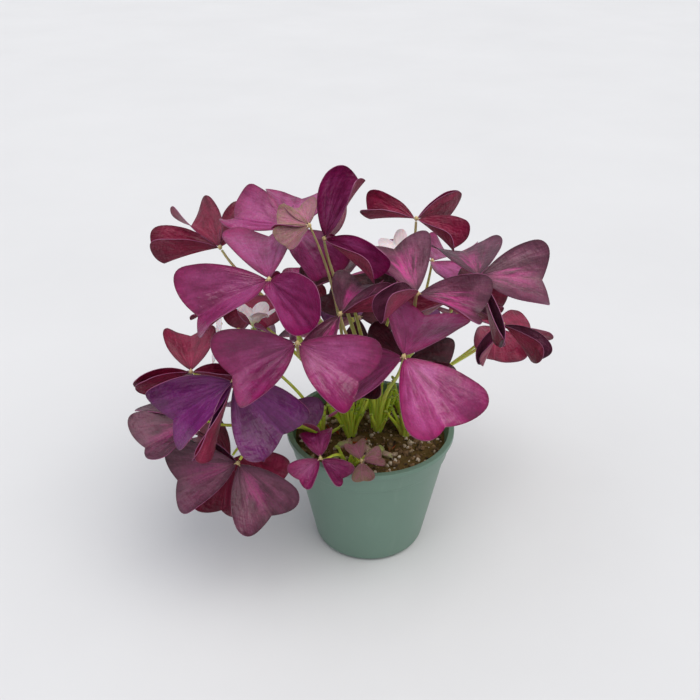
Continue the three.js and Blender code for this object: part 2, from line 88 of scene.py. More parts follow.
# The clods' roughness, the step from one size to the next, and how many sizes there are.
CLOD_FRACTAL = (0.8, 2.1, 4)
# What lies on the soil keeps off the wall, and always falls in the same way.
STREWN_MARGIN = 1.6 * MM
STREWN_SEED = 7
# The smallest lump as a share of the largest, then in shares of a lump's radius how high
# its middle lies and how rough it is, and how far it tips.
LUMP_LEAST = 0.35
LUMP_RISE = 0.25
LUMP_ROUGHNESS = 0.3
LUMP_MARKS_PER_METRE = 900
LUMP_TIP = 0.6
SCRAP_HALF_LENGTH = 5 * MM
SCRAP_HALF_WIDTH = 2.8 * MM
SCRAP_THICKNESS = 0.25 * MM
SCRAP_REST = 0.6 * MM
# The size of a bare corm in millimetres, and its scales in shares of that.
BARE_CORM_SIZES = (2.2, 3.4)
SCALES = 5
SCALE_SHAPE = (1.35, 0.62, 0.5)
SCALE_MARKS_PER_METRE = 500

# ---- stalks and corms -----------------------------------------------------

CORM_RADIUS = 4.6 * MM
CORM_HEIGHT = 13 * MM
CORM_SINK = 1.5 * MM
CROWN_DEPTH = 3 * MM
CROWN_RADIUS = 2.2 * MM
KNOB_RADIUS = 1.7 * MM
FORK_RADIUS = 1.2 * MM
GAP = 0.3 * MM
LEAST_RISE = 45 * MM
RISE_UPRIGHT = 0.55
START_LEAN = 0.06
ARRIVAL_LEAN = 0.22
FOOT_SWELL = 2.1
# Leaves whose leaflets are shorter than this, in millimetres, have slimmer stalks.
SMALL_LEAF = 22
SMALL_STALK = 0.75
SHOOT_TIP = (0.9 * MM, 1.1 * MM, 2 * MM)
SHOOT_NOD = 1.1

# ---- leaflets, in shares of their length, and degrees ---------------------

LEAFLET_START = 1 * MM
JOINT_SHAPE = (0.55 * MM, 1.5 * MM, 0.5 * MM)
DROOP = 15
CUP = 14
CREASE = 4
LEAFLET_NOTCH = 0.93
LOBE_HALF_WIDTH = 0.59
EDGE = ((0, 0), (0.14, 0.08), (0.48, 0.4), (LOBE_HALF_WIDTH, 0.75))
LOBE = ((LOBE_HALF_WIDTH, 0.75), (0.65, 0.98), (0.3, 1.06), (0, LEAFLET_NOTCH))
BLADE_COLUMNS = 20
BLADE_ROWS = 30
MIDRIB_CROWDING = 1.25
RIPPLES = 7
# How far the skin stands proud in puckers and pleats, and how closely they follow.
PUCKER = 0.035
PUCKERS = 3.2
PLEAT = 0.03
PLEATS = 9

# ---- flowers --------------------------------------------------------------

PETALS = 5
PETAL_GRID = 14
PETAL_HALF_TURN = 41
PETAL_FLARE = 0.6
PETAL_DIP = 0.38
PETAL_OVERLAP = 0.35 * MM
PETAL_CRUMPLE = 1.1 * MM
THROAT_RADIUS = 1.3 * MM
CALYX_HEIGHT = 3.4 * MM
CALYX_RADIUS = 1.3 * MM
CALYX_CLEAR = 0.6 * MM
SEPAL_CIRCLE = 1.1 * MM
SEPAL_TILT = math.radians(14)
SEPAL_SHAPE = (0.3 * MM, 0.75 * MM, 0.62 * CALYX_HEIGHT)
BUD_CALYX_HEIGHT = 1.4 * CALYX_HEIGHT
BUD_SHAPE = (1.45 * MM, 1.45 * MM, 3.4 * MM)
BUD_SINK = 1.4 * MM
BUD_TWIST_PER_METRE = 300
BUD_RIDGE = 0.12
PEDICEL_ARCH = 1 * MM
ANTHER_CIRCLE = 1.1 * MM
ANTHER_RADIUS = 0.35 * MM
ANTHER_HEIGHTS = (0.3, 0.4)
FILAMENT_CIRCLE = 0.5 * MM
FILAMENT_RADII = (0.16 * MM, 0.14 * MM)

# ---- stage ----------------------------------------------------------------

SENSOR_WIDTH = 36
CAMERA_PLACE = (-12.6 * MM, -433 * MM, 384 * MM)
FLOOR_HALF = 6
FLOOR_SQUARES = 4
# Each light: its direction, its share of the main light's strength, and its colour.
LIGHTS = {
    "key": ((-0.35, 0.3, -1), 1, "#fffaf4"),
    "fill": ((0.6, 0.25, -0.9), 0.35, "#f6f8ff"),
    "rim": ((0.35, -0.9, -0.75), 0.15, "#eef3ff"),
}

# Places in the lists of materials: of what lies on the soil, of all that grows from a
# corm, of a leaf after its blade, and of a flower after its petals.
BARK, PERLITE, DRY_LEAF, BARE_CORM = range(4)
STALK, CORM, CALYX, FURLED = range(4)
UNDERSIDE, MARGIN, KNOB = range(1, 4)
ANTHER = 1

# Corms in the soil, in millimetres. Each sends up its own leaf and flower stalks.
CORMS = {
    "west": (-30, 2),
    "northwest": (-22, 24),
    "middle_left": (-12, 4),
    "middle": (5, 6),
    "east": (22, 4),
    "northeast": (22, 24),
    "north": (0, 30),
    "front": (-14, -28),
}

# Each leaf: its corm and skin, the hub where its leaflets meet, the bow of its stalk, how
# far over the hub the stalk comes from (below it if negative), the heading and angle that
# the leaf leans to, and the length of its leaflets. Each leaflet has its turn, hang and
# fold. Millimetres and degrees.
Leaf = namedtuple("Leaf", "name corm skin hub bow reach lean size leaflets")
LEAVES = [
    Leaf("upper_left", "middle_left", "magenta", (-55, -30, 195),
         (12, 12), -30, (252, 40), 44, ((97, 20, 16), (203, -10, 22), (304, -14, 48))),
    Leaf("front_middle", "middle_left", "magenta", (-40, -50, 168),
         (-8, 6), -30, (272, 50), 40, ((207, 0, 10), (329, 0, 10), (130, 70, 50))),
    Leaf("front_right", "middle", "magenta", (16, -45, 157),
         (0, 0), -30, (285, 20), 46, ((303, 11, 10), (70, 6, 8), (186, 44, 14))),
    Leaf("upper_right", "east", "dusk", (24, -20, 182),
         (2, 22), -6, (270, 25), 36, ((110, -6, 12), (340, 0, 30), (232, -20, 60))),
    Leaf("far_right", "east", "dusk", (60, 0, 183),
         (0, 0), -28, (270, 42), 38, ((98, 36, 5), (358, -2, 6), (284, 16, 72))),
    Leaf("low_right", "northeast", "dusk", (79, 14, 145),
         (0, 0), -28, (300, 10), 29, ((125, 20, 40), (240, 30, 66), (318, 24, 56))),
    Leaf("inner_right", "east", "crimson", (50, 16, 162),
         (0, 0), -28, (260, 10), 27, ((45, 5, 15), (340, 5, 30), (200, 20, 40))),
    Leaf("centre", "middle", "dusk", (-18, -25, 172),
         (0, 0), -30, (270, 5), 28, ((62, -16, 8), (14, 0, 54), (244, 36, 44))),
    Leaf("top_young", "middle_left", "young", (-34, -12, 218),
         (2, 16), -26, (270, 20), 18, ((112, 0, 10), (168, 0, 15), (225, 5, 20))),
    Leaf("top_left", "northwest", "magenta", (-46, 36, 197),
         (0, 0), -26, (270, 15), 39, ((85, 0, 5), (165, -8, 10), (300, 12, 25))),
    Leaf("top_middle", "middle", "magenta", (-27, 4, 204),
         (-4, 4), -28, (270, 30), 38, ((46, -44, 46), (320, 5, 54), (78, 42, 56))),
    Leaf("top_right", "northeast", "crimson", (26, 32, 205),
         (0, 0), -30, (270, 15), 29, ((36, 14, 74), (322, 14, 40), (166, 4, 40))),
    Leaf("middle_shaded", "middle", "crimson", (-14, 22, 173),
         (0, 0), -30, (270, 5), 26, ((100, 5, 15), (190, 10, 20), (325, 15, 20))),
    Leaf("back_left", "northwest", "crimson", (-90, 34, 186),
         (0, 0), -28, (270, 5), 36, ((192, 5, 50), (128, -8, 30), (60, 0, 35))),
    Leaf("left_shaded", "northwest", "crimson", (-80, 32, 154),
         (0, 0), -26, (240, 10), 30, ((190, 10, 15), (70, 10, 15), (310, 10, 15))),
    Leaf("far_left", "west", "crimson", (-108, 0, 120),
         (0, 6), -16, (270, 20), 30, ((97, -6, 5), (204, 10, 66), (345, 6, 60))),
    Leaf("left_front", "west", "violet", (-76, -42, 140),
         (0, 0), -20, (262, 52), 42, ((209, -4, 24), (246, 14, 70), (309, 2, 10))),
    Leaf("left_outer", "west", "dusk", (-98, -28, 105),
         (0, 0), -16, (240, 12), 38, ((212, -6, 8), (140, 0, 10), (75, 22, 15))),
    Leaf("left_low", "west", "dusk", (-76, -50, 90),
         (0, 0), 14, (270, 48), 37, ((303, 2, 10), (196, -6, 8), (150, 50, 62))),
    Leaf("left_lowest", "west", "crimson", (-84, -24, 74),
         (0, 0), 20, (250, 20), 33, ((255, 20, 25), (140, 0, 15), (325, 10, 20))),
    Leaf("left_inner", "west", "violet", (-58, -34, 112),
         (0, 0), -10, (290, 10), 28, ((355, 5, 20), (260, 20, 45), (140, 10, 15))),
    Leaf("rim_small", "front", "magenta", (-29, -56, 98),
         (0, 0), -8, (270, 30), 17, ((100, 4, 5), (225, 5, 10), (322, 14, 30))),
    Leaf("seedling", "front", "young", (-6, -44, 87),
         (0, 0), -4, (270, 20), 12, ((275, 5, 5), (110, -5, 5), (15, 0, 5))),
    Leaf("front_under", "middle", "crimson", (-2, -13, 133),
         (0, 0), -28, (250, 10), 22, ((262, 16, 20), (186, 30, 62), (30, 14, 64))),
    Leaf("middle_deep", "east", "crimson", (20, -14, 136),
         (0, 0), -26, (270, 20), 26, ((170, -30, 12), (0, 0, 25), (285, 24, 30))),
    Leaf("middle_back", "north", "crimson", (-7, 32, 140),
         (0, 0), -24, (270, 55), 26, ((140, 6, 16), (12, 19, 12), (262, 4, 30))),
    Leaf("rear_left", "northwest", "crimson", (-62, 64, 136),
         (0, 0), -24, (120, 10), 32, ((115, 5, 15), (0, 10, 15), (225, 15, 15))),
    Leaf("rear_middle", "north", "magenta", (-17, 67, 151),
         (0, 0), -24, (95, 10), 36, ((100, 0, 15), (195, 10, 20), (354, 10, 15))),
    Leaf("rear_right", "northeast", "magenta", (40, 64, 164),
         (0, 0), -24, (70, 10), 36, ((60, 0, 15), (170, 0, 15), (300, 10, 15))),
    Leaf("rear_far_right", "northeast", "crimson", (82, 54, 122),
         (0, 0), -18, (20, 15), 36, ((25, 5, 15), (145, 5, 15), (265, 10, 15))),
    Leaf("rear_low_middle", "north", "violet", (8, 86, 114),
         (0, 0), -4, (90, 15), 37, ((90, 5, 15), (210, 5, 15), (330, 5, 15))),
    Leaf("rear_low_left", "north", "dusk", (-64, 78, 100),
         (0, 0), 0, (135, 15), 36, ((135, 5, 15), (15, 10, 15), (255, 5, 15))),
]

# Leaves inside the plant, whose skin is darkened as painted shade.
INNER_LEAVES = ("front_under", "middle_deep", "middle_back", "middle_shaded")

# Young shoots that have not opened: how many come up round a corm, and their height.
SHOOTS = {"west": (6, 30), "middle_left": (24, 40), "middle": (26, 46), "east": (16, 40),
          "northwest": (8, 34), "northeast": (12, 42), "front": (6, 16)}

# Curled scraps of dry leaf, and the scales of small bare corms, on the soil: middle
# and heading, in millimetres and degrees.
SCRAPS = ((-7, -8, 30), (-23, 6, 140), (13, -12, 80))
BARE_CORMS = ((-17, -12, 20), (-11, -17, 70), (-4, -15, 140), (1, -20, 200), (6, -15, 100),
              (-7, -24, 10), (4, -27, 60), (-20, -21, 35), (10, -22, 150), (-13, -9, 100))

# Flower heads: the corm, the fork where the flower stalks part, how far over the fork the
# stalk comes from, the open flowers and the closed buds. Each flower has the top of its
# green cup, its heading and pitch, its opening and its length. Millimetres and degrees.
Bloom = namedtuple("Bloom", "name place heading pitch open length")
Bud = namedtuple("Bud", "place heading pitch")
Spray = namedtuple("Spray", "corm fork reach blooms buds")
SPRAYS = [
    Spray("west", (-70, -4, 146), -30,
          (Bloom("left_tall", (-68, -4, 153), 60, 75, 45, 17),
           Bloom("left_side", (-87, 3, 140), 190, 15, 70, 14)),
          (Bud((-76, -7, 152), 200, 50), Bud((-62, -8, 152), 330, 50))),
    Spray("north", (17, 24, 173), -30,
          (Bloom("right_tall", (18, 24, 183), 200, 70, 40, 17),),
          (Bud((10, 21, 181), 250, 60),)),
]


def paint(text):
    """A colour as Blender wants it, linear, from its sRGB hex value."""
    parts = (int(text[i:i + 2], 16) / 255 for i in (1, 3, 5))
    return tuple(c / 12.92 if c <= 0.04045 else ((c + 0.055) / 1.055) ** 2.4 for c in parts)


# ---- settings -------------------------------------------------------------


class PotSettings(bpy.types.PropertyGroup):
    """The nursery pot."""

    height: FloatProperty(name="Height", description="Height of the pot",
                          default=82 * MM, unit="LENGTH")
    rim_radius: FloatProperty(name="Rim radius", description="Outer radius of the lip",
                              default=52 * MM, unit="LENGTH")
    base_radius: FloatProperty(name="Base radius", description="Outer radius at the foot",
                               default=34.5 * MM, unit="LENGTH")
    wall: FloatProperty(name="Wall", description="Thickness of the wall",
                        default=1.6 * MM, unit="LENGTH")
    floor: FloatProperty(name="Floor", description="Thickness of the pot's floor",
                         default=2.4 * MM, unit="LENGTH")
    colour: FloatVectorProperty(name="Colour", description="Colour of the plastic",
                                default=paint("#688576"), subtype="COLOR")


class SoilSettings(bpy.types.PropertyGroup):
    """The potting mix."""

    crumbs: IntProperty(name="Crumbs", description="How many dark crumbs lie on top",
                        default=520)
    grains: IntProperty(name="Grains", description="How many pale mineral grains lie on top",
                        default=190)
    crumb_size: FloatProperty(name="Crumb size", description="Size of a large crumb",
                              default=2.5 * MM, unit="LENGTH")
    colour: FloatVectorProperty(name="Colour", description="Colour of the moist mix",
                                default=paint("#544322"), subtype="COLOR")


class FoliageSettings(bpy.types.PropertyGroup):
    """Leaves and stalks."""

    blade: FloatProperty(name="Blade", description="Thickness of a leaflet",
                         default=0.4 * MM, unit="LENGTH")
    wave: FloatProperty(name="Wave", description="How far the halves of a leaflet ripple",
                        default=math.radians(7), subtype="ANGLE")
    stalk: FloatProperty(name="Stalk", description="Radius of a leaf stalk at its top",
                         default=0.75 * MM, unit="LENGTH")
    magenta: FloatVectorProperty(name="Magenta", description="The brightest leaves",
                                 default=paint("#94085c"), subtype="COLOR")
    violet: FloatVectorProperty(name="Violet", description="The bluest leaves",
                                default=paint("#6c1262"), subtype="COLOR")
    dusk: FloatVectorProperty(name="Dusk", description="The dusky leaves",
                              default=paint("#642846"), subtype="COLOR")
    crimson: FloatVectorProperty(name="Crimson", description="Leaves in the shade",
                                 default=paint("#880a3c"), subtype="COLOR")
    young: FloatVectorProperty(name="Young", description="Leaves that are still small",
                               default=paint("#9a5870"), subtype="COLOR")


class FlowerSettings(bpy.types.PropertyGroup):
    """Flowers and buds."""

    petal: FloatProperty(name="Petal", description="Thickness of a petal",
                         default=0.25 * MM, unit="LENGTH")
    pedicel: FloatProperty(name="Flower stalk", description="Radius of a flower's stalk",
                           default=0.5 * MM, unit="LENGTH")
    colour: FloatVectorProperty(name="Colour", description="Colour of the petals",
                                default=paint("#f3e6ea"), subtype="COLOR")


class StageSettings(bpy.types.PropertyGroup):
    """Floor, light and camera."""

    lens: FloatProperty(name="Lens", description="Focal length for a 36 mm sensor",
                        default=43.46, unit="CAMERA")
    pitch: FloatProperty(name="Pitch", description="How far the camera looks down",
                         default=math.radians(29.9), subtype="ANGLE")
    sky: FloatProperty(name="Sky", description="Strength of the even light", default=0.5)
    sun: FloatProperty(name="Sun", description="Strength of the wide, soft main light",
                       default=2.0)
    spread: FloatProperty(name="Spread", description="How wide the main light is",
                          default=math.radians(60), subtype="ANGLE")
    colour: FloatVectorProperty(name="Colour", description="Colour of the floor",
                                default=paint("#dadbdd"), subtype="COLOR")


SETTINGS = {
    "shamrock_pot": PotSettings,
    "shamrock_soil": SoilSettings,
    "shamrock_foliage": FoliageSettings,
    "shamrock_flowers": FlowerSettings,
    "shamrock_stage": StageSettings,
}

# ---- materials ------------------------------------------------------------

# The scale of a pattern is one over the real size of its marks. On leaflets and petals,
# patterns lie in a fan: its first number goes across, its second from the hub outwards.


def add_node(tree, kind, feeds=None, **settings):
    """Adds a node, sets its options, and feeds its inputs with values, sockets or other
    nodes, whose first output in use is taken."""
    node = tree.nodes.new("ShaderNode" + kind)
    for name, value in settings.items():
        setattr(node, name, value)
    for name, value in (feeds or {}).items():
        if isinstance(value, bpy.types.Node):
            value = next(output for output in value.outputs if output.enabled)
        if isinstance(value, bpy.types.NodeSocket):
            tree.links.new(value, node.inputs[name])
        else:
            node.inputs[name].default_value = value
    return node


def new_material(name):
    """An empty material and its node tree."""
    material = bpy.data.materials.new(name)
    material.use_nodes = True
    material.node_tree.nodes.clear()
    return material, material.node_tree


def finish_material(tree, feeds):
    """The surface of a material, from what feeds its principled shader."""
    shader = add_node(tree, "BsdfPrincipled", feeds)
    add_node(tree, "OutputMaterial", {"Surface": shader})


def rgba(colour):
    """A colour with full opacity."""
    return (*colour[:3], 1)


def scaled(colour, share):
    """A colour made darker or lighter by a share."""
    return tuple(min(1, part * share) for part in colour[:3])


def mottled(name, size, detail, first, second, roughness, limits=(0, 1), relief=None,
            pattern="TexNoise"):
    """A material of two tones in patches of a given size. Its relief is the strength and
    depth of the bumps that follow the same patches."""
    material, tree = new_material(name)
    place = add_node(tree, "TexCoord").outputs["Object"]
    patch = add_node(tree, pattern, {"Vector": place, "Scale": 1 / size, "Detail": detail})
    share = add_node(tree, "MapRange", {0: patch, 1: limits[0], 2: limits[1]})
    tone = add_node(tree, "Mix", {0: share, 6: rgba(paint(first)), 7: rgba(paint(second))},
                    data_type="RGBA")
    feeds = {"Base Color": tone, "Roughness": roughness}
    if relief:
        feeds["Normal"] = add_node(tree, "Bump", {"Height": patch, "Strength": relief[0],
                                                  "Distance": relief[1]})
    finish_material(tree, feeds)
    return material


def moulded_polypropylene(colour):
    """Nursery pot: injection moulded polypropylene, a satin skin with soft wide glints,
    very fine grain from the mould, and pale upright streaks of painted highlight."""
    material, tree = new_material("moulded polypropylene, satin green")
    place = add_node(tree, "TexCoord").outputs["Object"]
    cloud = add_node(tree, "TexNoise", {"Vector": place, "Scale": 1 / (45.5 * MM), "Detail": 4})
    upright = add_node(tree, "Mapping", {"Vector": place, "Scale": (1, 1, 0.12)})
    streak = add_node(tree, "TexNoise", {"Vector": upright, "Scale": 1 / (6.25 * MM),
                                         "Detail": 3})
    tone = add_node(tree, "Mix", {0: cloud, 6: rgba(scaled(colour, 0.88)),
                                  7: rgba(scaled(colour, 1.14))}, data_type="RGBA")
    # pale upright streaks down the wall: painted highlights
    highlight_streak_share = add_node(tree, "MapRange", {0: streak, 1: 0.58, 2: 0.8, 4: 0.08})
    with_painted_highlights = add_node(tree, "Mix", {0: highlight_streak_share, 6: tone, 7: rgba(paint("#a9b3a6"))},
                     data_type="RGBA")
    gloss = add_node(tree, "MapRange", {0: cloud, 3: 0.34, 4: 0.5})
    grain = add_node(tree, "TexNoise", {"Vector": place, "Scale": 1 / (0.625 * MM),
                                        "Detail": 2})
    bump = add_node(tree, "Bump", {"Height": grain, "Strength": 0.12, "Distance": 0.05 * MM})
    finish_material(tree, {"Base Color": with_painted_highlights, "Roughness": gloss, "IOR": 1.49,
                           "Normal": bump})
    return material


def moist_potting_mix(colour):
    """Moist peat and bark fines: dark brown and matt, in lighter and darker clumps, with
    pale fibres."""
    material, tree = new_material("moist peat potting mix")
    place = add_node(tree, "TexCoord").outputs["Object"]
    clumps = add_node(tree, "TexNoise", {"Vector": place, "Scale": 1 / (5.26 * MM),
                                         "Detail": 6, "Roughness": 0.65})
    fibres = add_node(tree, "TexVoronoi", {"Vector": place, "Scale": 1 / (1.92 * MM)})
    tone = add_node(tree, "Mix", {0: clumps, 6: rgba(scaled(colour, 0.35)),
                                  7: rgba(scaled(colour, 2.1))}, data_type="RGBA")
    pale = add_node(tree, "MapRange", {0: fibres, 1: 0.2, 2: 0.05, 4: 0.35})
    fibrous = add_node(tree, "Mix", {0: pale, 6: tone, 7: rgba(paint("#8a7350"))},
                       data_type="RGBA")
    bump = add_node(tree, "Bump", {"Height": clumps, "Strength": 0.9, "Distance": 0.8 * MM})
    finish_material(tree, {"Base Color": fibrous, "Roughness": 0.93,
                           "Specular IOR Level": 0.25, "Normal": bump})
    return material


def composted_bark():
    """Crumbs of composted bark: brown, each its own tone, matt and rough."""
    return mottled("composted bark crumbs", 4.35 * MM, 3, "#33230f", "#927450", 0.9,
                   limits=(0.35, 0.7), relief=(0.6, 0.4 * MM))


def expanded_perlite():
    """Grains of expanded mineral: chalky off-white with tan stains, full of tiny pits."""
    material, tree = new_material("expanded perlite grains")
    place = add_node(tree, "TexCoord").outputs["Object"]
    stain = add_node(tree, "TexNoise", {"Vector": place, "Scale": 1 / (7.69 * MM),
                                        "Detail": 3})
    share = add_node(tree, "MapRange", {0: stain, 1: 0.38, 2: 0.66})
    tone = add_node(tree, "Mix", {0: share, 6: rgba(paint("#9a8468")),
                                  7: rgba(paint("#e3d7c4"))}, data_type="RGBA")
    pits = add_node(tree, "TexVoronoi", {"Vector": place, "Scale": 1 / (0.667 * MM)})
    bump = add_node(tree, "Bump", {"Height": pits, "Strength": 0.4, "Distance": 0.3 * MM})
    finish_material(tree, {"Base Color": tone, "Roughness": 0.85, "Normal": bump})
    return material


def dried_leaf_scrap():
    """Dry fallen leaf: papery, rust red to orange."""
    return mottled("dried leaf scrap, rust orange", 6.67 * MM, 3, "#b02c14", "#d9782a", 0.7)


def papery_corm():
    """Corm: overlapping dry scales, tan and brown, papery."""
    return mottled("papery corm scales", 2.38 * MM, 0, "#8c6a48", "#4a3323", 0.75,
                   relief=(0.7, 0.5 * MM), pattern="TexVoronoi")


def young_corm():
    """Young corm: fleshy scales, dusty pink turning green in places, waxy."""
    return mottled("young corm scales, pink and green", 3.85 * MM, 3, "#b8978e", "#a9b56a",
                   0.5, limits=(0.4, 0.62), relief=(0.4, 0.4 * MM))


def hub_knob():
    """Where the leaflets meet: a tiny swollen joint, waxy pale yellow with a pink blush."""
    return mottled("waxy leaf hub, pale yellow", 1.43 * MM, 2, "#d6cf86", "#b98a74", 0.4)


def green_calyx():
    """Sepals of a flower's cup: fresh light green, waxy, with paler patches."""
    return mottled("fresh calyx, light green", 2 * MM, 2, "#86a52c", "#c3cf62", 0.45)


def anther_dust():
    """Anthers: tiny, matt, pollen yellow."""
    return mottled("pollen on anthers", 0.4 * MM, 2, "#d9b83a", "#f0e08a", 0.9)


def leaf_margin():
    """The cut edge of a leaflet: thin, waxy, and duller and paler than the blade."""
    return mottled("leaflet margin, pink", 8.33 * MM, 2, "#6e1a48", "#96507a", 0.5)


def fresh_stalk():
    """Juicy leaf stalk: a thin waxy skin, bright yellow green where it is shaded near the
    soil and paler and pinker up in the light, with faint long ribs."""
    material, tree = new_material("fresh stalk, waxy yellow green")
    place = add_node(tree, "TexCoord").outputs["Object"]
    height = add_node(tree, "SeparateXYZ", {0: place}).outputs["Z"]
    climb = add_node(tree, "MapRange", {0: height, 1: 95 * MM, 2: 175 * MM})
    green = add_node(tree, "Mix", {0: climb, 6: rgba(paint("#d4e852")),
                                   7: rgba(paint("#bdb47c"))}, data_type="RGBA")
    upright = add_node(tree, "Mapping", {"Vector": place, "Scale": (1, 1, 0.1)})
    blush = add_node(tree, "TexNoise", {"Vector": upright, "Scale": 1 / (10.5 * MM),
                                        "Detail": 2})
    share = add_node(tree, "MapRange", {0: blush, 1: 0.5, 2: 0.75, 4: 0.55})
    tone = add_node(tree, "Mix", {0: share, 6: green, 7: rgba(paint("#b07a62"))},
                    data_type="RGBA")
    ribs = add_node(tree, "TexNoise", {"Vector": upright, "Scale": 1 / (0.667 * MM)})
    bump = add_node(tree, "Bump", {"Height": ribs, "Strength": 0.25, "Distance": 0.1 * MM})
    finish_material(tree, {"Base Color": tone, "Roughness": 0.42, "Subsurface Weight": 0.3,
                           "Subsurface Scale": 1.5 * MM, "Normal": bump})
    return material


def petal_skin(colour):
    """Petal: translucent and thin, white with a pink breath and fine pink veins, turning
    yellow green in the throat."""
    material, tree = new_material("thin petal, pale pink")
    fan = add_node(tree, "UVMap", uv_map="fan")
    # about a dozen veins across a petal, drawn out along it
    lengthwise = add_node(tree, "Mapping", {"Vector": fan, "Scale": (34, 2, 1)})
    veins = add_node(tree, "TexNoise", {"Vector": lengthwise, "Scale": 1, "Detail": 2})
    lines = add_node(tree, "MapRange", {0: veins, 1: 0.52, 2: 0.72, 4: 0.5})
    veined = add_node(tree, "Mix", {0: lines, 6: rgba(colour), 7: rgba(paint("#dba9b8"))},
                      data_type="RGBA")
    reach = add_node(tree, "SeparateXYZ", {0: fan}).outputs["Y"]
    throat = add_node(tree, "MapRange", {0: reach, 1: 0.4, 2: 0.05})
    tone = add_node(tree, "Mix", {0: throat, 6: veined, 7: rgba(paint("#cfd884"))},
                    data_type="RGBA")
    bump = add_node(tree, "Bump", {"Height": veins, "Strength": 0.5, "Distance": 0.3 * MM})
    finish_material(tree, {"Base Color": tone, "Roughness": 0.55, "Subsurface Weight": 0.3,
                           "Subsurface Scale": 1 * MM, "Normal": bump})
    return material


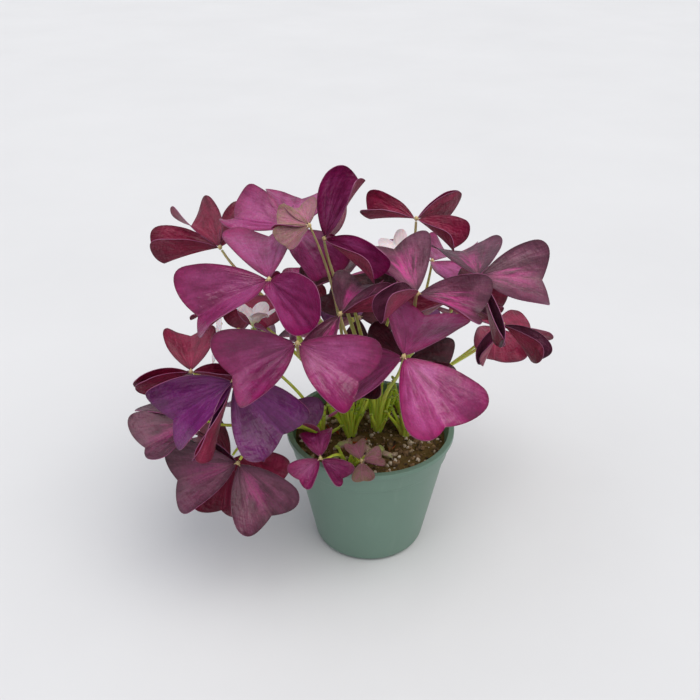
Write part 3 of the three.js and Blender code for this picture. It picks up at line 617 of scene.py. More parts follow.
def leaf_skin(name, body, deep, bright, vein, roughness, sheen, flare="#c04a8e",
              flare_share=0):
    """A leaflet's skin, which is soft and satin: strong colour along the margin, a paler
    and greyer painted sheen inside each half, fine veins that fan out from the hub, and on
    some leaves a feathered flare along the midrib."""
    deep, bright, vein, flare = (rgba(paint(text)) for text in (deep, bright, vein, flare))
    material, tree = new_material(name)
    fan = add_node(tree, "SeparateXYZ", {0: add_node(tree, "UVMap", uv_map="fan")})
    turn, reach = fan.outputs["X"], fan.outputs["Y"]
    tint = add_node(tree, "Attribute", attribute_name="tint").outputs["Fac"]
    margin = add_node(tree, "Attribute", attribute_name="margin").outputs["Fac"]
    place = add_node(tree, "TexCoord").outputs["Object"]
    # noise stretched along the veins: fine veins a little over a millimetre apart near
    # the lobes, the broad pleats between the main veins, and crinkles that cross them
    spread = add_node(tree, "CombineXYZ", {0: turn, 1: reach, 2: tint})
    threads, pleats, cross = (
        add_node(tree, "TexNoise", {
            "Vector": add_node(tree, "Mapping", {"Vector": spread, "Scale": stretch}),
            "Scale": 1, "Detail": 3})
        for stretch in ((95, 5, 60), (20, 3, 60), (13, 15, 60)))
    drift = add_node(tree, "TexNoise", {"Vector": place, "Scale": 1 / (22.2 * MM),
                                        "Detail": 3})
    mottle = add_node(tree, "Math", {0: drift, 1: pleats}, operation="ADD")
    darker = add_node(tree, "MapRange", {0: mottle, 1: 0.82, 2: 1.25, 4: 0.75})
    tone = add_node(tree, "Mix", {0: darker, 6: rgba(body), 7: deep}, data_type="RGBA")
    # the bloom is a painted sheen: a paler, greyer colour inside each half, stronger near
    # the hub and on some leaflets
    bloom = 1
    for value, low, high, least, most in (
            (margin, 1 * MM, 7 * MM, 0, 1), (reach, 0.95, 0.25, 0.45, 1),
            (mottle, 1.12, 0.86, 0.3, 1), (tint, 0, 1, 0.65, 1)):
        share = add_node(tree, "MapRange", {0: value, 1: low, 2: high, 3: least, 4: most})
        bloom = add_node(tree, "Math", {0: share, 1: bloom}, operation="MULTIPLY")
    # the bright colour laid over the blade here is the painted sheen
    with_painted_sheen = add_node(tree, "Mix", {0: bloom, 6: tone, 7: bright}, data_type="RGBA")
    # feathered flare along the midrib
    middle = add_node(tree, "Math", {0: turn, 1: 0.5}, operation="SUBTRACT")
    aside = add_node(tree, "Math", {0: middle}, operation="ABSOLUTE")
    feather = add_node(tree, "Math", {0: threads, 1: 0.2, 2: aside}, operation="MULTIPLY_ADD")
    flame = add_node(tree, "Math", {0: pleats, 1: 0.3, 2: feather}, operation="MULTIPLY_ADD")
    patch = flare_share
    for value, low, high, least in ((flame, 0.36, 0.26, 0), (reach, 0.8, 0.45, 0),
                                    (reach, 0.06, 0.25, 0), (tint, 0.1, 0.6, 0.45)):
        share = add_node(tree, "MapRange", {0: value, 1: low, 2: high, 3: least})
        patch = add_node(tree, "Math", {0: share, 1: patch}, operation="MULTIPLY")
    # the flare, then veins and midrib a shade lighter than the blade between them, the
    # deeper outer millimetre and a fine grain, each mixed over the colour before
    beside = add_node(tree, "Math", {0: aside, 1: reach}, operation="MULTIPLY")
    grain = add_node(tree, "TexNoise", {"Vector": place, "Scale": 1 / (1.18 * MM),
                                        "Detail": 2})
    colour = add_node(tree, "Mix", {0: patch, 6: with_painted_sheen, 7: flare}, data_type="RGBA")
    for value, low, high, most, over in (
            (threads, 0.54, 0.7, 0.22, vein), (beside, 0.008, 0.002, 0.35, vein),
            (margin, 1.6 * MM, 0.2 * MM, 0.5, deep), (grain, 0.45, 0.75, 0.3, deep)):
        share = add_node(tree, "MapRange", {0: value, 1: low, 2: high, 4: most})
        colour = add_node(tree, "Mix", {0: share, 6: colour, 7: over}, data_type="RGBA")
    # whole leaflets differ a little in value
    value = add_node(tree, "MapRange", {0: tint, 3: 0.8, 4: 1.12})
    shaded = add_node(tree, "HueSaturation", {"Value": value, "Color": colour})
    # soft relief: puckers a few millimetres wide, pleats, crinkles and sunken veins
    pucker = add_node(tree, "TexNoise", {"Vector": place, "Scale": 1 / (5.88 * MM),
                                         "Detail": 2})
    raised = add_node(tree, "Math", {0: pleats, 1: pucker}, operation="ADD")
    crossed = add_node(tree, "MapRange", {0: reach, 1: 0.3, 2: 0.8, 3: 0.1, 4: 0.7})
    folds = add_node(tree, "Math", {0: cross, 1: crossed, 2: raised}, operation="MULTIPLY_ADD")
    soft = add_node(tree, "Bump", {"Height": folds, "Strength": 0.85, "Distance": 1.2 * MM})
    fine = add_node(tree, "Math", {0: grain, 1: 0.5, 2: threads}, operation="MULTIPLY_ADD")
    crisp = add_node(tree, "Bump", {"Height": fine, "Strength": 0.6, "Distance": 0.3 * MM,
                                    "Normal": soft})
    finish_material(tree, {"Base Color": shaded, "Roughness": roughness,
                           "Specular IOR Level": 0.5, "Subsurface Weight": 0.12,
                           "Subsurface Radius": (1, 0.12, 0.25), "Subsurface Scale": 1.2 * MM,
                           "Sheen Weight": sheen, "Sheen Roughness": 0.4,
                           "Sheen Tint": rgba(paint("#e3c4ee")), "Normal": crisp})
    return material


def leaf_skins(foliage):
    """The skin of the upper side of each kind of leaf."""
    return {
        # in full light: strong colour, and the smoothest wax
        "magenta": leaf_skin("satin leaf, magenta", foliage.magenta, "#560432", "#a8508a",
                             "#a23a78", 0.36, 0.04),
        # low on the left: bluer, with a bluish bloom that is a painted sheen
        "violet": leaf_skin("satin leaf, violet", foliage.violet, "#450638", "#7c2a74",
                            "#8a3c84", 0.4, 0.03),
        # older leaves: dull and brownish, with a pink flame along each midrib
        "dusk": leaf_skin("satin leaf, dusky with a pink flare", foliage.dusk, "#380e1e",
                          "#8a4c68", "#905868", 0.46, 0.02, flare="#be3a88", flare_share=1),
        # half in shade: redder and matt
        "crimson": leaf_skin("shaded leaf, crimson", foliage.crimson, "#4e041e", "#962049",
                             "#a02850", 0.46, 0.03),
        # deep inside the plant: the crimson darkened to nearly black red, a painted shade
        "inner": leaf_skin("inner leaf, dark crimson", scaled(foliage.crimson, 0.35),
                           "#1c0206", "#5c1028", "#6a1c34", 0.46, 0.02),
        # still small: dull pink with olive, and downy
        "young": leaf_skin("young leaf, pink and olive", foliage.young, "#7a6a44", "#a86a7c",
                           "#b99080", 0.5, 0.1, flare_share=0.3),
    }


def underside(foliage):
    """The lower side of a leaflet, matt, deep crimson with plain veins."""
    return leaf_skin("leaf underside, deep crimson", foliage.crimson, "#500820", "#9a2248",
                     "#a83a5c", 0.55, 0.04)


# ---- shaping --------------------------------------------------------------


def new_piece(name, bm, materials, slot, *nodes):
    """A finished piece that stands for CAD nodes, with smooth sides and crisp edges."""
    mesh = bpy.data.meshes.new(name)
    bm.to_mesh(mesh)
    bm.free()
    for material in materials:
        mesh.materials.append(material)
    mesh.shade_smooth()
    mesh.set_sharp_from_angle(angle=SHARP_ANGLE)
    piece = bpy.data.objects.new(name, mesh)
    bpy.context.scene.collection.objects.link(piece)
    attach(piece, "root")
    if nodes:
        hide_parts(*nodes)
    return piece


def settled_mesh(piece):
    """The mesh of a working object with its modifiers done. The object is removed."""
    bpy.context.scene.collection.objects.link(piece)
    graph = bpy.context.evaluated_depsgraph_get()
    mesh = bpy.data.meshes.new_from_object(piece.evaluated_get(graph))
    bpy.data.objects.remove(piece)
    return mesh


def add_mesh(bm, mesh, finish=None):
    """Adds a mesh to a piece, in one finish if it is given, and removes the mesh."""
    before = len(bm.faces)
    bm.from_mesh(mesh)
    bm.faces.ensure_lookup_table()
    if finish is not None:
        for face in bm.faces[before:]:
            face.material_index = finish
    bpy.data.meshes.remove(mesh)


def faces_round(verts):
    """The faces that touch these vertices, each once and always in the same order."""
    return list(dict.fromkeys(face for vert in verts for face in vert.link_faces))


def set_finish(verts, finish):
    """Gives the faces round these vertices a finish."""
    for face in faces_round(verts):
        face.material_index = finish


def thicken(bm, thickness, materials, below=0, edge=0):
    """Gives the thin sheets of a piece their thickness. Their lower side and their edge
    take the material that comes so many places after that of the upper side."""
    sheets = bpy.data.meshes.new("sheets")
    bm.to_mesh(sheets)
    bm.clear()
    for material in materials:
        sheets.materials.append(material)
    solid = bpy.data.objects.new("sheets", sheets)
    wall = solid.modifiers.new("thickness", "SOLIDIFY")
    wall.thickness = thickness
    wall.offset = 0
    wall.material_offset = below
    wall.material_offset_rim = edge
    add_mesh(bm, settled_mesh(solid))


def curve_point(points, t):
    """The point at t on the cubic curve with these four control points."""
    a, b, c, d = (Vector(point) for point in points)
    s = 1 - t
    return a * s ** 3 + b * (3 * s * s * t) + c * (3 * s * t * t) + d * t ** 3


def aimed(place, heading, pitch):
    """The matrix that moves the origin to a place and turns +Z to a heading and pitch."""
    a, e = math.radians(heading), math.radians(pitch)
    along = Vector((math.cos(e) * math.cos(a), math.cos(e) * math.sin(a), math.sin(e)))
    turn = Vector((0, 0, 1)).rotation_difference(along).to_matrix().to_4x4()
    return Matrix.Translation(Vector(place) * MM) @ turn


# ---- pot ------------------------------------------------------------------


def wall_radius(pot, z):
    """Outer radius of the plain wall at a height, without collar and lip."""
    top = pot.rim_radius - COLLAR_STEP - LIP_STEP
    return pot.base_radius + (top - pot.base_radius) * z / pot.height


def pot_profile(pot):
    """The pot's section, from the axis below round the lip to the axis: the radius and
    height of each corner, and how far it is rounded."""
    collar = pot.height - COLLAR_HEIGHT
    lip = pot.height - LIP_HEIGHT
    return [
        (0, 0, 0),
        (wall_radius(pot, 0), 0, FOOT_ROUND),
        (wall_radius(pot, collar - COLLAR_STEP), collar - COLLAR_STEP, EDGE_ROUND),
        (wall_radius(pot, collar) + COLLAR_STEP, collar, EDGE_ROUND),
        (wall_radius(pot, lip) + COLLAR_STEP, lip - EDGE_CHAMFER, EDGE_ROUND),
        (pot.rim_radius, lip, EDGE_ROUND),
        (pot.rim_radius, pot.height, EDGE_ROUND),
        (wall_radius(pot, pot.height) - pot.wall, pot.height, EDGE_ROUND),
        (wall_radius(pot, pot.floor) - pot.wall, pot.floor, FLOOR_ROUND),
        (0, pot.floor, 0),
    ]


def make_pot(pot):
    """Spins the pot's section, after its corners are rounded, and drills its drains."""
    bm = bmesh.new()
    profile = pot_profile(pot)
    corners = [bm.verts.new((radius, 0, height)) for radius, height, _ in profile]
    for a, b in zip(corners, corners[1:]):
        bm.edges.new((a, b))
    for corner, (_, _, rounding) in list(zip(corners, profile))[1:-1]:
        bmesh.ops.bevel(bm, geom=[corner], offset=rounding, segments=ROUND_SEGMENTS,
                        profile=0.5, affect="VERTICES", material=-1)
    bmesh.ops.spin(bm, geom=bm.verts[:] + bm.edges[:], cent=(0, 0, 0), axis=(0, 0, 1),
                   angle=2 * math.pi, steps=POT_SIDES, use_merge=True)
    bmesh.ops.remove_doubles(bm, verts=bm.verts[:], dist=WELD)
    bmesh.ops.recalc_face_normals(bm, faces=bm.faces[:])
    mesh = bpy.data.meshes.new("pot body")
    bm.to_mesh(mesh)
    bm.clear()
    for i in range(DRAIN_COUNT):
        turn = 2 * math.pi * (i + 0.5) / DRAIN_COUNT
        place = Vector((DRAIN_CIRCLE * math.cos(turn), DRAIN_CIRCLE * math.sin(turn), 0))
        bmesh.ops.create_cone(bm, cap_ends=True, segments=DRAIN_SIDES, radius1=DRAIN_RADIUS,
                              radius2=DRAIN_RADIUS, depth=4 * pot.floor,
                              matrix=Matrix.Translation(place))
    drills_mesh = bpy.data.meshes.new("drills")
    bm.to_mesh(drills_mesh)
    drills = bpy.data.objects.new("drills", drills_mesh)
    bpy.context.scene.collection.objects.link(drills)
    body = bpy.data.objects.new("pot body", mesh)
    cut = body.modifiers.new("drains", "BOOLEAN")
    cut.operation = "DIFFERENCE"
    cut.object = drills
    drilled = settled_mesh(body)
    bpy.data.objects.remove(drills)
    bm.clear()
    add_mesh(bm, drilled, 0)
    return new_piece("moulded_pot", bm, [moulded_polypropylene(pot.colour)], "pot", "pot")


# ---- soil -----------------------------------------------------------------


def soil_height(x, y):
    """Height of the soil: low mounds of loose potting mix, with ripples over them."""
    mounds = math.sin(x / MOUND_SPACING + 1) * math.cos(y / MOUND_SPACING)
    ripples = RIPPLE_SHARE * math.sin((y + x / 2) / RIPPLE_SPACING)
    return SOIL_TOP + MOUND_HEIGHT * (mounds + ripples)


def crumbly_height(x, y):
    """Height of the soil with its crumbs."""
    clods = noise.fractal(Vector((x, y, 0)) * CLODS_PER_METRE, *CLOD_FRACTAL)
    return soil_height(x, y) + CLOD_HEIGHT * clods


def make_soil(pot, soil):
    """A round slab of potting mix with a crumbly top, closed underneath."""
    bm = bmesh.new()
    bmesh.ops.create_grid(bm, x_segments=SOIL_GRID, y_segments=SOIL_GRID, size=1)
    radius = wall_radius(pot, SOIL_TOP) - pot.wall - SOIL_SLACK
    rim = [edge for edge in bm.edges if edge.is_boundary]
    for vert in bm.verts:
        u, v = vert.co.x, vert.co.y
        x = radius * u * math.sqrt(1 - v * v / 2)
        y = radius * v * math.sqrt(1 - u * u / 2)
        vert.co = (x, y, crumbly_height(x, y))
    skirt = bmesh.ops.extrude_edge_only(bm, edges=rim)["geom"]
    low = [item for item in skirt if isinstance(item, bmesh.types.BMVert)]
    floor = pot.floor + GAP
    shrink = (wall_radius(pot, floor) - pot.wall - FLOOR_ROUND) / radius
    for vert in low:
        vert.co = (vert.co.x * shrink, vert.co.y * shrink, floor)
    bmesh.ops.contextual_create(
        bm, geom=[edge for edge in bm.edges if edge.is_boundary])
    bmesh.ops.recalc_face_normals(bm, faces=bm.faces[:])
    return new_piece("potting_mix", bm, [moist_potting_mix(soil.colour)], "soil", "soil")


def scatter(bm, draw, count, size, spread, flat, detail, finish):
    """Strews lumps over the soil, each turned, flattened and roughened, half sunk in."""
    for _ in range(count):
        distance = spread * math.sqrt(draw.random())
        turn = draw.uniform(0, 2 * math.pi)
        x, y = distance * math.cos(turn), distance * math.sin(turn)
        radius = size * draw.uniform(LUMP_LEAST, 1) / 2
        place = Matrix.Translation((x, y, crumbly_height(x, y) + LUMP_RISE * radius))
        spin = Matrix.Rotation(draw.uniform(0, 2 * math.pi), 4, "Z")
        tip = Matrix.Rotation(draw.uniform(-LUMP_TIP, LUMP_TIP), 4, "X")
        shape = Matrix.Diagonal((draw.uniform(0.7, 1.5), draw.uniform(0.6, 1),
                                 draw.uniform(flat, 1), 1))
        made = bmesh.ops.create_icosphere(bm, subdivisions=detail, radius=radius,
                                          matrix=place @ spin @ tip @ shape)
        for vert in made["verts"]:
            rough = noise.noise_vector(vert.co * LUMP_MARKS_PER_METRE)
            vert.co += rough * radius * LUMP_ROUGHNESS
        set_finish(made["verts"], finish)


def add_scrap(bm, x, y, heading, draw):
    """A curled scrap of dry leaf that lies on the soil."""
    made = bmesh.ops.create_grid(bm, x_segments=8, y_segments=6, size=1)
    turn = Matrix.Rotation(math.radians(heading), 4, "Z")
    rest = crumbly_height(x * MM, y * MM) + SCRAP_REST
    place = Matrix.Translation((x * MM, y * MM, rest)) @ turn
    shift = draw.uniform(0, 50)
    for vert in made["verts"]:
        u, v = vert.co.x, vert.co.y
        curl = noise.noise(Vector((u * 1.5, v * 1.5, shift)))
        width = 1 - 0.6 * u * u
        vert.co = place @ Vector((SCRAP_HALF_LENGTH * u, SCRAP_HALF_WIDTH * v * width,
                                  (2.4 * v * v + 1.8 * curl + 1) * MM))
    made = bmesh.ops.solidify(bm, geom=faces_round(made["verts"]),
                              thickness=SCRAP_THICKNESS)
    set_finish([item for item in made["geom"] if isinstance(item, bmesh.types.BMVert)],
               DRY_LEAF)


def add_bare_corm(bm, x, y, heading, draw):
    """A small corm that lies half bare on the soil, with its scales standing off."""
    size = draw.uniform(*BARE_CORM_SIZES) * MM
    turn = Matrix.Rotation(math.radians(heading), 4, "Z")
    place = Matrix.Translation((x * MM, y * MM, crumbly_height(x * MM, y * MM) + 0.4 * size))
    for i in range(SCALES):
        scale = Matrix.Rotation(2 * math.pi * i / SCALES, 4, "X")
        stand = Matrix.Translation((0, 0, 0.35 * size))
        shape = Matrix.Diagonal((*(share * size for share in SCALE_SHAPE), 1))
        made = add_ball(bm, place @ turn @ scale @ stand @ shape, BARE_CORM, 8)
        for vert in made:
            vert.co += noise.noise_vector(vert.co * SCALE_MARKS_PER_METRE) * 0.25 * size


def make_grains(pot, soil):
    """What lies on the soil: bark crumbs, pale mineral grains, dry scraps, bare corms."""
    bm = bmesh.new()
    draw = random.Random(STREWN_SEED)
    noise.seed_set(STREWN_SEED)
    spread = wall_radius(pot, SOIL_TOP) - pot.wall - STREWN_MARGIN
    for count, size, flat, detail, finish in (
            (soil.crumbs, 1, 0.5, 1, BARK), (soil.crumbs // 5, 2, 0.35, 2, BARK),
            (soil.grains, 1.1, 0.8, 2, PERLITE), (soil.grains // 4, 1.9, 0.8, 2, PERLITE)):
        scatter(bm, draw, count, size * soil.crumb_size, spread, flat, detail, finish)
    for scrap in SCRAPS:
        add_scrap(bm, *scrap, draw)
    for corm in BARE_CORMS:
        add_bare_corm(bm, *corm, draw)
    materials = [composted_bark(), expanded_perlite(), dried_leaf_scrap(), young_corm()]
    return new_piece("bark_and_grains", bm, materials, "soil")


# ---- stalks ---------------------------------------------------------------


def stalk_path(corm, hub, bow, reach):
    """Control points of a leaf's stalk: up out of the crown, then over to the hub."""
    x, y = corm
    turn = math.atan2(hub[1] - y, hub[0] - x)
    crown = (SOIL_TOP - CORM_SINK - CROWN_DEPTH) / MM
    sink = CROWN_RADIUS / MM
    foot = Vector((x + sink * math.cos(turn), y + sink * math.sin(turn), crown))
    top = Vector(hub)
    rise = max(top.z - foot.z, LEAST_RISE / MM)
    across = Vector((top.x - foot.x, top.y - foot.y, 0))
    aside = Vector((*bow, 0))
    lower = foot + across * START_LEAN + Vector((0, 0, RISE_UPRIGHT * rise)) + aside
    upper = top - across * ARRIVAL_LEAN + Vector((0, 0, reach)) + aside
    end = top - (top - upper).normalized() * (KNOB_RADIUS + GAP) / MM
    return [point * MM for point in (foot, lower, upper, end)]


def add_tube(bm, path, thick, thin, finish):
    """A round stalk along a cubic curve, thicker at its foot, in one finish."""
    line = bpy.data.curves.new("stalk", "CURVE")
    line.dimensions = "3D"
    line.bevel_depth = 1
    line.bevel_resolution = 3
    line.resolution_u = 20
    line.use_fill_caps = True
    spline = line.splines.new("BEZIER")
    spline.bezier_points.add(1)
    foot, top = spline.bezier_points
    for point in (foot, top):
        point.handle_left_type = point.handle_right_type = "FREE"
    foot.co, foot.handle_right, top.handle_left, top.co = path
    foot.handle_left = 2 * path[0] - path[1]
    top.handle_right = 2 * path[3] - path[2]
    foot.radius, top.radius = thick, thin
    add_mesh(bm, settled_mesh(bpy.data.objects.new("stalk", line)), finish)


def add_ball(bm, matrix, finish, detail=12):
    """A ball of one unit, shaped by a matrix, in one finish."""
    made = bmesh.ops.create_uvsphere(bm, u_segments=detail, v_segments=detail // 2 + 2,
                                     radius=1, matrix=matrix)
    set_finish(made["verts"], finish)
    return made["verts"]


def add_cup(bm, fork, head, length, flowers):
    """A flower's or bud's thin stalk from the fork, and its green cup of five sepals."""
    aim = aimed(head.place, head.heading, head.pitch)
    clear = GAP + CALYX_CLEAR
    middle = aim @ Vector((0, 0, -length / 2 - clear))
    half = (fork + middle) / 2 + Vector((0, 0, PEDICEL_ARCH))
    path = [fork, fork.lerp(half, 2 / 3), middle.lerp(half, 2 / 3), middle]
    add_tube(bm, path, flowers.pedicel, flowers.pedicel * 0.9, STALK)
    core = Matrix.Diagonal((CALYX_RADIUS, CALYX_RADIUS, length / 2, 1))
    upright = aim.to_quaternion().to_matrix().to_4x4()
    add_ball(bm, Matrix.Translation(middle) @ upright @ core, CALYX)
    for i in range(PETALS):
        turn = Matrix.Rotation(2 * math.pi * (i + 0.5) / PETALS, 4, "Z")
        place = Matrix.Translation((SEPAL_CIRCLE, 0, -clear - 0.45 * CALYX_HEIGHT))
        tilt = Matrix.Rotation(SEPAL_TILT, 4, "Y")
        add_ball(bm, aim @ turn @ place @ tilt @ Matrix.Diagonal((*SEPAL_SHAPE, 1)), CALYX, 8)


def add_furled_petals(bm, bud):
    """The furled petals of a closed bud, a pale twisted cone above its cup."""
    aim = aimed(bud.place, bud.heading, bud.pitch)
    shape = Matrix.Translation((0, 0, -BUD_SINK)) @ Matrix.Diagonal((*BUD_SHAPE, 1))
    made = add_ball(bm, aim @ shape, FURLED, 16)
    back = aim.inverted()
    for vert in made:
        local = back @ vert.co
        twist = Matrix.Rotation(local.z * BUD_TWIST_PER_METRE, 4, "Z")
        ridge = 1 + BUD_RIDGE * math.cos(PETALS * math.atan2(local.y, local.x))
        vert.co = aim @ (twist @ Vector((local.x * ridge, local.y * ridge, local.z)))


def add_shoots(bm, name, foliage):
    """Young shoots round a corm's crown: bright, thick at the foot, nodding at the tip."""
    count, height = SHOOTS.get(name, (0, 0))
    draw = random.Random("shoots " + name)
    x, y = CORMS[name]
    foot_level = (SOIL_TOP - CORM_SINK) / MM - CROWN_DEPTH / MM
    for i in range(count):
        turn = 2 * math.pi * (i + draw.uniform(-0.3, 0.3)) / count
        way = Vector((math.cos(turn), math.sin(turn), 0))
        rise = height * draw.uniform(0.45, 1)
        foot = Vector((x, y, foot_level)) + way * draw.uniform(0.8, 2.4)
        top = foot + way * draw.uniform(2, 12) + Vector((0, 0, rise))
        path = [point * MM for point in (foot, foot + Vector((0, 0, rise * 0.4)),
                                         top - way - Vector((0, 0, rise * 0.25)), top)]
        add_tube(bm, path, foliage.stalk * draw.uniform(1.5, 2.3), foliage.stalk * 0.9,
                 STALK)
        tip = Matrix.Translation(top * MM) @ Matrix.Rotation(turn, 4, "Z")
        nod = Matrix.Translation((0.8 * MM, 0, 0)) @ Matrix.Rotation(SHOOT_NOD, 4, "Y")
        add_ball(bm, tip @ nod @ Matrix.Diagonal((*SHOOT_TIP, 1)), CALYX, 8)


def make_stalks(name, foliage, flowers, materials):
    """Everything green that grows from one corm: stalks, flower stalks, cups and buds."""
    bm = bmesh.new()
    bm.loops.layers.uv.new("fan")
    x, y = (value * MM for value in CORMS[name])
    middle = SOIL_TOP - CORM_SINK - CORM_HEIGHT / 2
    shape = Matrix.Diagonal((CORM_RADIUS, CORM_RADIUS, CORM_HEIGHT / 2, 1))
    add_ball(bm, Matrix.Translation((x, y, middle)) @ shape, CORM, 20)
    for leaf in LEAVES:
        if leaf.corm == name:
            path = stalk_path(CORMS[name], leaf.hub, leaf.bow, leaf.reach)
            slim = SMALL_STALK if leaf.size < SMALL_LEAF else 1
            add_tube(bm, path, foliage.stalk * FOOT_SWELL * slim, foliage.stalk * slim,
                     STALK)
    add_shoots(bm, name, foliage)
    for spray in SPRAYS:
        if spray.corm == name:
            path = stalk_path(CORMS[name], spray.fork, (0, 0), spray.reach)
            fork = Vector(spray.fork) * MM
            path[3] = fork
            add_tube(bm, path, foliage.stalk * 1.5, foliage.stalk, STALK)
            swelling = Matrix.Diagonal((FORK_RADIUS, FORK_RADIUS, FORK_RADIUS, 1))
            add_ball(bm, Matrix.Translation(fork) @ swelling, STALK)
            for bloom in spray.blooms:
                add_cup(bm, fork, bloom, CALYX_HEIGHT, flowers)
            for bud in spray.buds:
                add_cup(bm, fork, bud, BUD_CALYX_HEIGHT, flowers)
                add_furled_petals(bm, bud)
    return new_piece("green_" + name, bm, materials, "stalk", "stalks_" + name)


# ---- leaves ---------------------------------------------------------------


def outline(t):
    """Half of a leaflet's outline, from the hub round the lobe to the notch."""
    return curve_point(EDGE, 2 * t) if t < 0.5 else curve_point(LOBE, 2 * t - 1)


def flat_point(side, t):
    """Where a point of a leaflet lies before it folds: across and along the midrib."""
    edge = outline(t)
    spine = LEAFLET_NOTCH * t
    return edge.x * abs(side), spine + (edge.y - spine) * abs(side)


def blade_relief(side, t, seed):
    """How far the skin of a leaflet stands proud: puckers, and pleats between its veins."""
    across, along = flat_point(side, t)
    spot = Vector((math.copysign(across, side) * PUCKERS, along * PUCKERS, seed))
    rib = math.atan2(across, along + 0.1) * PLEATS
    away = min(1, 3 * across) * min(1, 2 * t)
    return away * (PUCKER * noise.noise(spot) + PLEAT * math.sin(rib + seed) * across)


def blade_point(side, t, fold, ripple, proud):
    """A point of a leaflet one unit long: folded at its midrib, cupped and drooping."""
    across, along = flat_point(side, t)
    bend = math.radians(DROOP)
    cup = math.copysign(CUP, fold) * across / LOBE_HALF_WIDTH
    tilt = math.radians(fold + math.copysign(CREASE, fold) + cup) + ripple
    lift = across * math.sin(tilt) + proud
    turned = bend * along
    return Vector((
        math.copysign(across, side) * math.cos(tilt),
        math.sin(turned) / bend + lift * math.sin(turned),
        (math.cos(turned) - 1) / bend + lift * math.cos(turned),
    ))


def add_leaflet(bm, size, fold, wave, matrix, draw):
    """One leaflet: a grid from margin to midrib to margin, laid out and then folded."""
    fan = bm.loops.layers.uv.verify()
    margin = bm.verts.layers.float["margin"]
    tint = bm.verts.layers.float["tint"]
    made = bmesh.ops.create_grid(bm, x_segments=BLADE_COLUMNS, y_segments=BLADE_ROWS, size=1)
    shade = draw.random()
    phases = [draw.uniform(0, 2 * math.pi) for _ in range(2)]
    spots = {}
    for vert in made["verts"]:
        side = math.copysign(abs(vert.co.x) ** MIDRIB_CROWDING, vert.co.x)
        spots[vert] = side, (vert.co.y + 1) / 2
    for face in faces_round(made["verts"]):
        for loop in face.loops:
            side, t = spots[loop.vert]
            across, along = flat_point(side, max(t, 0.02))
            turn = math.copysign(math.atan2(across, along), side)
            loop[fan].uv = 0.5 + turn / math.pi, 0.9 * math.hypot(across, along)
    for vert, (side, t) in spots.items():
        phase = phases[0] if side < 0 else phases[1]
        ripple = wave * abs(side) * math.sin(phase + RIPPLES * t) * min(1, 2 * t)
        proud = blade_relief(side, t, phase * 5)
        vert[margin] = (1 - abs(side)) * outline(t).x * size
        vert[tint] = shade
        point = blade_point(side, t, fold, ripple, proud) * size
        vert.co = matrix @ (point + Vector((0, LEAFLET_START, 0)))
    bmesh.ops.remove_doubles(bm, verts=made["verts"], dist=WELD)


def leaflet_place(hub, turn, hang):
    """The matrix of a leaflet that is turned about its hub and hangs by an angle."""
    swing = Matrix.Rotation(math.radians(turn - 90), 4, "Z")
    return hub @ swing @ Matrix.Rotation(-math.radians(hang), 4, "X")


def make_leaf(leaf, foliage, materials):
    """A leaf: three thick leaflets, each hung and turned about the hub, and the knob."""
    bm = bmesh.new()
    bm.loops.layers.uv.new("fan")
    bm.verts.layers.float.new("margin")
    bm.verts.layers.float.new("tint")
    draw = random.Random(leaf.name)
    toward, angle = (math.radians(value) for value in leaf.lean)
    hinge = Vector((-math.sin(toward), math.cos(toward), 0))
    hub = Matrix.Translation(Vector(leaf.hub) * MM) @ Matrix.Rotation(angle, 4, hinge)
    for turn, hang, fold in leaf.leaflets:
        place = leaflet_place(hub, turn, hang)
        add_leaflet(bm, leaf.size * MM, fold, foliage.wave, place, draw)
    thicken(bm, foliage.blade, materials, UNDERSIDE, MARGIN)
    slim = 0.6 if leaf.size < SMALL_LEAF else 0.75
    knob = hub @ Matrix.Diagonal((KNOB_RADIUS * slim,) * 2 + (KNOB_RADIUS * 0.9, 1))
    add_ball(bm, knob, KNOB)
    for turn, hang, _ in leaf.leaflets:
        joint = Matrix.Translation((0, 1.4 * LEAFLET_START, 0.1 * MM))
        shape = Matrix.Diagonal((*(radius * slim for radius in JOINT_SHAPE), 1))
        add_ball(bm, leaflet_place(hub, turn, hang) @ joint @ shape, KNOB, 8)
    return new_piece("blades_" + leaf.name, bm, materials, leaf.skin, "leaf_" + leaf.name)


# ---- flowers --------------------------------------------------------------


def petal_point(bloom, side, t, petal, shift):
    """A point of a petal: up the funnel by t and to its side, over its neighbour's edge."""
    aside = math.radians(PETAL_HALF_TURN * side)
    turn = math.radians(360 / PETALS * petal + PETAL_HALF_TURN * side)
    dip = 1 - abs(math.cos(PETALS / 2 * aside))
    reach = bloom.length * MM * t * (1 - PETAL_DIP * dip * t)
    lean = math.radians(bloom.open * (1 - PETAL_FLARE * (1 - t)))
    out = THROAT_RADIUS + reach * math.sin(lean) + PETAL_OVERLAP * side * t
    crumple = noise.noise(Vector((side * 2.2, t * 3, shift))) * PETAL_CRUMPLE * t
    return Vector((out * math.cos(turn), out * math.sin(turn),
                   reach * math.cos(lean) + crumple))


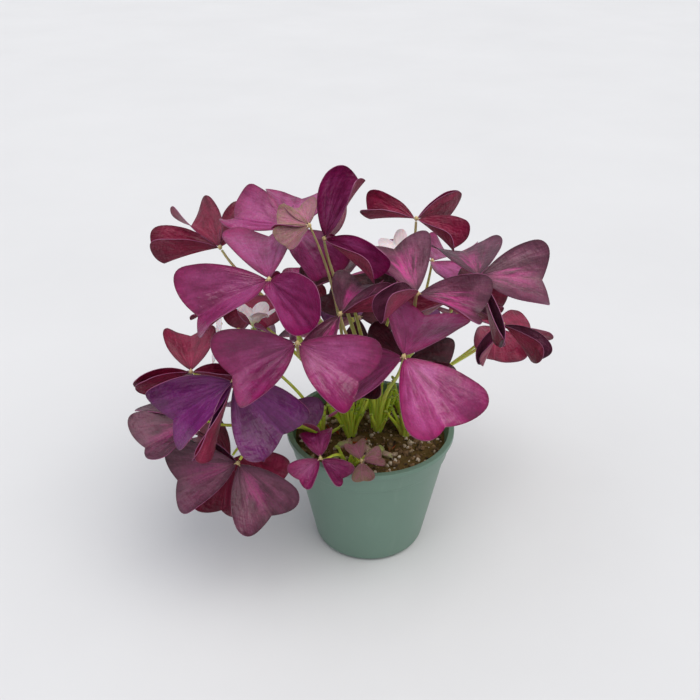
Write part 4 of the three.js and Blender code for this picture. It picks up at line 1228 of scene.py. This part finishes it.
def make_bloom(bloom, flowers, materials):
    """An open flower: five thin crumpled petals in a funnel, and anthers in its throat."""
    bm = bmesh.new()
    fan = bm.loops.layers.uv.new("fan")
    draw = random.Random(bloom.name)
    aim = aimed(bloom.place, bloom.heading, bloom.pitch)
    for petal in range(PETALS):
        made = bmesh.ops.create_grid(bm, x_segments=PETAL_GRID, y_segments=PETAL_GRID, size=1)
        shift = draw.uniform(0, 90)
        spots = {vert: (vert.co.x, (vert.co.y + 1) / 2) for vert in made["verts"]}
        for face in faces_round(made["verts"]):
            for loop in face.loops:
                side, t = spots[loop.vert]
                loop[fan].uv = 0.5 + 0.35 * side, t
        for vert, (side, t) in spots.items():
            vert.co = aim @ petal_point(bloom, side, t, petal, shift)
    thicken(bm, flowers.petal, materials)
    for i in range(2 * PETALS):
        turn = aim @ Matrix.Rotation(math.pi * i / PETALS, 4, "Z")
        height = ANTHER_HEIGHTS[i % 2] * bloom.length * MM
        place = Matrix.Translation((ANTHER_CIRCLE, 0, height))
        shape = Matrix.Diagonal((ANTHER_RADIUS, ANTHER_RADIUS, 2 * ANTHER_RADIUS, 1))
        add_ball(bm, turn @ place @ shape, ANTHER, 8)
        path = [turn @ Vector((FILAMENT_CIRCLE, 0, share * height))
                for share in (0, 0.3, 0.7, 1)]
        add_tube(bm, path, *FILAMENT_RADII, ANTHER)
    return new_piece("petals_" + bloom.name, bm, materials, "petal", "bloom_" + bloom.name)


# ---- stage ----------------------------------------------------------------


def painted_board(colour):
    """Painted board: pale, matt, with faint cloudy brush marks."""
    material, tree = new_material("pale painted board")
    place = add_node(tree, "TexCoord").outputs["Object"]
    cloud = add_node(tree, "TexNoise", {"Vector": place, "Scale": 1 / (286 * MM),
                                        "Detail": 5, "Roughness": 0.6})
    tone = add_node(tree, "Mix", {0: cloud, 6: rgba(scaled(colour, 0.9)), 7: rgba(colour)},
                    data_type="RGBA")
    finish_material(tree, {"Base Color": tone, "Roughness": 0.8, "Specular IOR Level": 0.2})
    return material


def make_floor(stage):
    """A wide pale floor under the pot."""
    bm = bmesh.new()
    bmesh.ops.create_grid(bm, x_segments=FLOOR_SQUARES, y_segments=FLOOR_SQUARES, size=FLOOR_HALF)
    mesh = bpy.data.meshes.new("floor")
    bm.to_mesh(mesh)
    bm.free()
    mesh.materials.append(painted_board(stage.colour))
    floor = bpy.data.objects.new("floor", mesh)
    bpy.context.scene.collection.objects.link(floor)


def add_light(name, aim, strength, spread, colour):
    """A wide soft light that shines evenly along a direction."""
    light = bpy.data.lights.new(name, "SUN")
    light.energy = strength
    light.angle = spread
    light.color = colour
    lamp = bpy.data.objects.new(name, light)
    lamp.rotation_euler = Vector(aim).to_track_quat("-Z", "Y").to_euler()
    bpy.context.scene.collection.objects.link(lamp)


# ---- operators ------------------------------------------------------------


class SHAMROCK_OT_stage(bpy.types.Operator):
    """Sets the camera, the pale floor and soft studio light"""

    bl_idname = "shamrock.stage"
    bl_label = "Camera, Floor and Light"

    def execute(self, context):
        stage = context.scene.shamrock_stage
        lens = bpy.data.cameras.new("camera")
        lens.lens = stage.lens
        lens.sensor_width = SENSOR_WIDTH
        camera = bpy.data.objects.new("camera", lens)
        camera.location = CAMERA_PLACE
        camera.rotation_euler = (math.pi / 2 - stage.pitch, 0, 0)
        context.scene.collection.objects.link(camera)
        context.scene.camera = camera
        make_floor(stage)
        for name, (aim, share, colour) in LIGHTS.items():
            add_light(name, aim, stage.sun * share, stage.spread, paint(colour))
        world = bpy.data.worlds.new("even sky")
        world.use_nodes = True
        sky = world.node_tree.nodes["Background"]
        sky.inputs["Color"].default_value = rgba(paint("#f2f5fa"))
        sky.inputs["Strength"].default_value = stage.sky
        context.scene.world = world
        context.scene.view_settings.view_transform = "Standard"
        return {"FINISHED"}


class SHAMROCK_OT_pot(bpy.types.Operator):
    """Builds the nursery pot"""

    bl_idname = "shamrock.pot"
    bl_label = "Pot"

    def execute(self, context):
        make_pot(context.scene.shamrock_pot)
        return {"FINISHED"}


class SHAMROCK_OT_soil(bpy.types.Operator):
    """Fills the pot with potting mix and strews its bark and grains"""

    bl_idname = "shamrock.soil"
    bl_label = "Soil"

    def execute(self, context):
        scene = context.scene
        make_soil(scene.shamrock_pot, scene.shamrock_soil)
        make_grains(scene.shamrock_pot, scene.shamrock_soil)
        return {"FINISHED"}


class SHAMROCK_OT_stalks(bpy.types.Operator):
    """Grows the corms, the leaf stalks, the flower stalks and the buds"""

    bl_idname = "shamrock.stalks"
    bl_label = "Stalks and Buds"

    def execute(self, context):
        scene = context.scene
        flowers = scene.shamrock_flowers
        materials = [fresh_stalk(), papery_corm(), green_calyx(), petal_skin(flowers.colour)]
        for name in CORMS:
            make_stalks(name, scene.shamrock_foliage, flowers, materials)
        return {"FINISHED"}


class SHAMROCK_OT_leaves(bpy.types.Operator):
    """Unfolds the leaves"""

    bl_idname = "shamrock.leaves"
    bl_label = "Leaves"

    def execute(self, context):
        foliage = context.scene.shamrock_foliage
        skins = leaf_skins(foliage)
        shared = [underside(foliage), leaf_margin(), hub_knob()]
        for leaf in LEAVES:
            # leaves inside the plant take the skin darkened as painted shade
            skin = skins["inner" if leaf.name in INNER_LEAVES else leaf.skin]
            make_leaf(leaf, foliage, [skin, *shared])
        return {"FINISHED"}


class SHAMROCK_OT_flowers(bpy.types.Operator):
    """Opens the flowers"""

    bl_idname = "shamrock.flowers"
    bl_label = "Flowers"

    def execute(self, context):
        flowers = context.scene.shamrock_flowers
        materials = [petal_skin(flowers.colour), anther_dust()]
        for spray in SPRAYS:
            for bloom in spray.blooms:
                make_bloom(bloom, flowers, materials)
        return {"FINISHED"}


OPERATORS = [
    SHAMROCK_OT_stage,
    SHAMROCK_OT_pot,
    SHAMROCK_OT_soil,
    SHAMROCK_OT_stalks,
    SHAMROCK_OT_leaves,
    SHAMROCK_OT_flowers,
]


class SHAMROCK_PT_panel(bpy.types.Panel):
    """Lists the settings and the steps that build the plant"""

    bl_idname = "SHAMROCK_PT_panel"
    bl_label = "Potted Shamrock"
    bl_space_type = "VIEW_3D"
    bl_region_type = "UI"
    bl_category = "Shamrock"

    def draw(self, context):
        for name, group in SETTINGS.items():
            box = self.layout.box()
            box.label(text=group.__doc__)
            for prop in group.__annotations__:
                box.prop(getattr(context.scene, name), prop)
        for operator in OPERATORS:
            self.layout.operator(operator.bl_idname)


CLASSES = [*SETTINGS.values(), *OPERATORS, SHAMROCK_PT_panel]


def register():
    for cls in CLASSES:
        bpy.utils.register_class(cls)
    for name, group in SETTINGS.items():
        setattr(bpy.types.Scene, name, PointerProperty(type=group))


def unregister():
    for name in SETTINGS:
        delattr(bpy.types.Scene, name)
    for cls in reversed(CLASSES):
        bpy.utils.unregister_class(cls)


def main():
    register()
    bpy.ops.shamrock.stage()
    bpy.ops.shamrock.pot()
    bpy.ops.shamrock.soil()
    bpy.ops.shamrock.stalks()
    bpy.ops.shamrock.leaves()
    bpy.ops.shamrock.flowers()


if __name__ == "__main__":
    main()
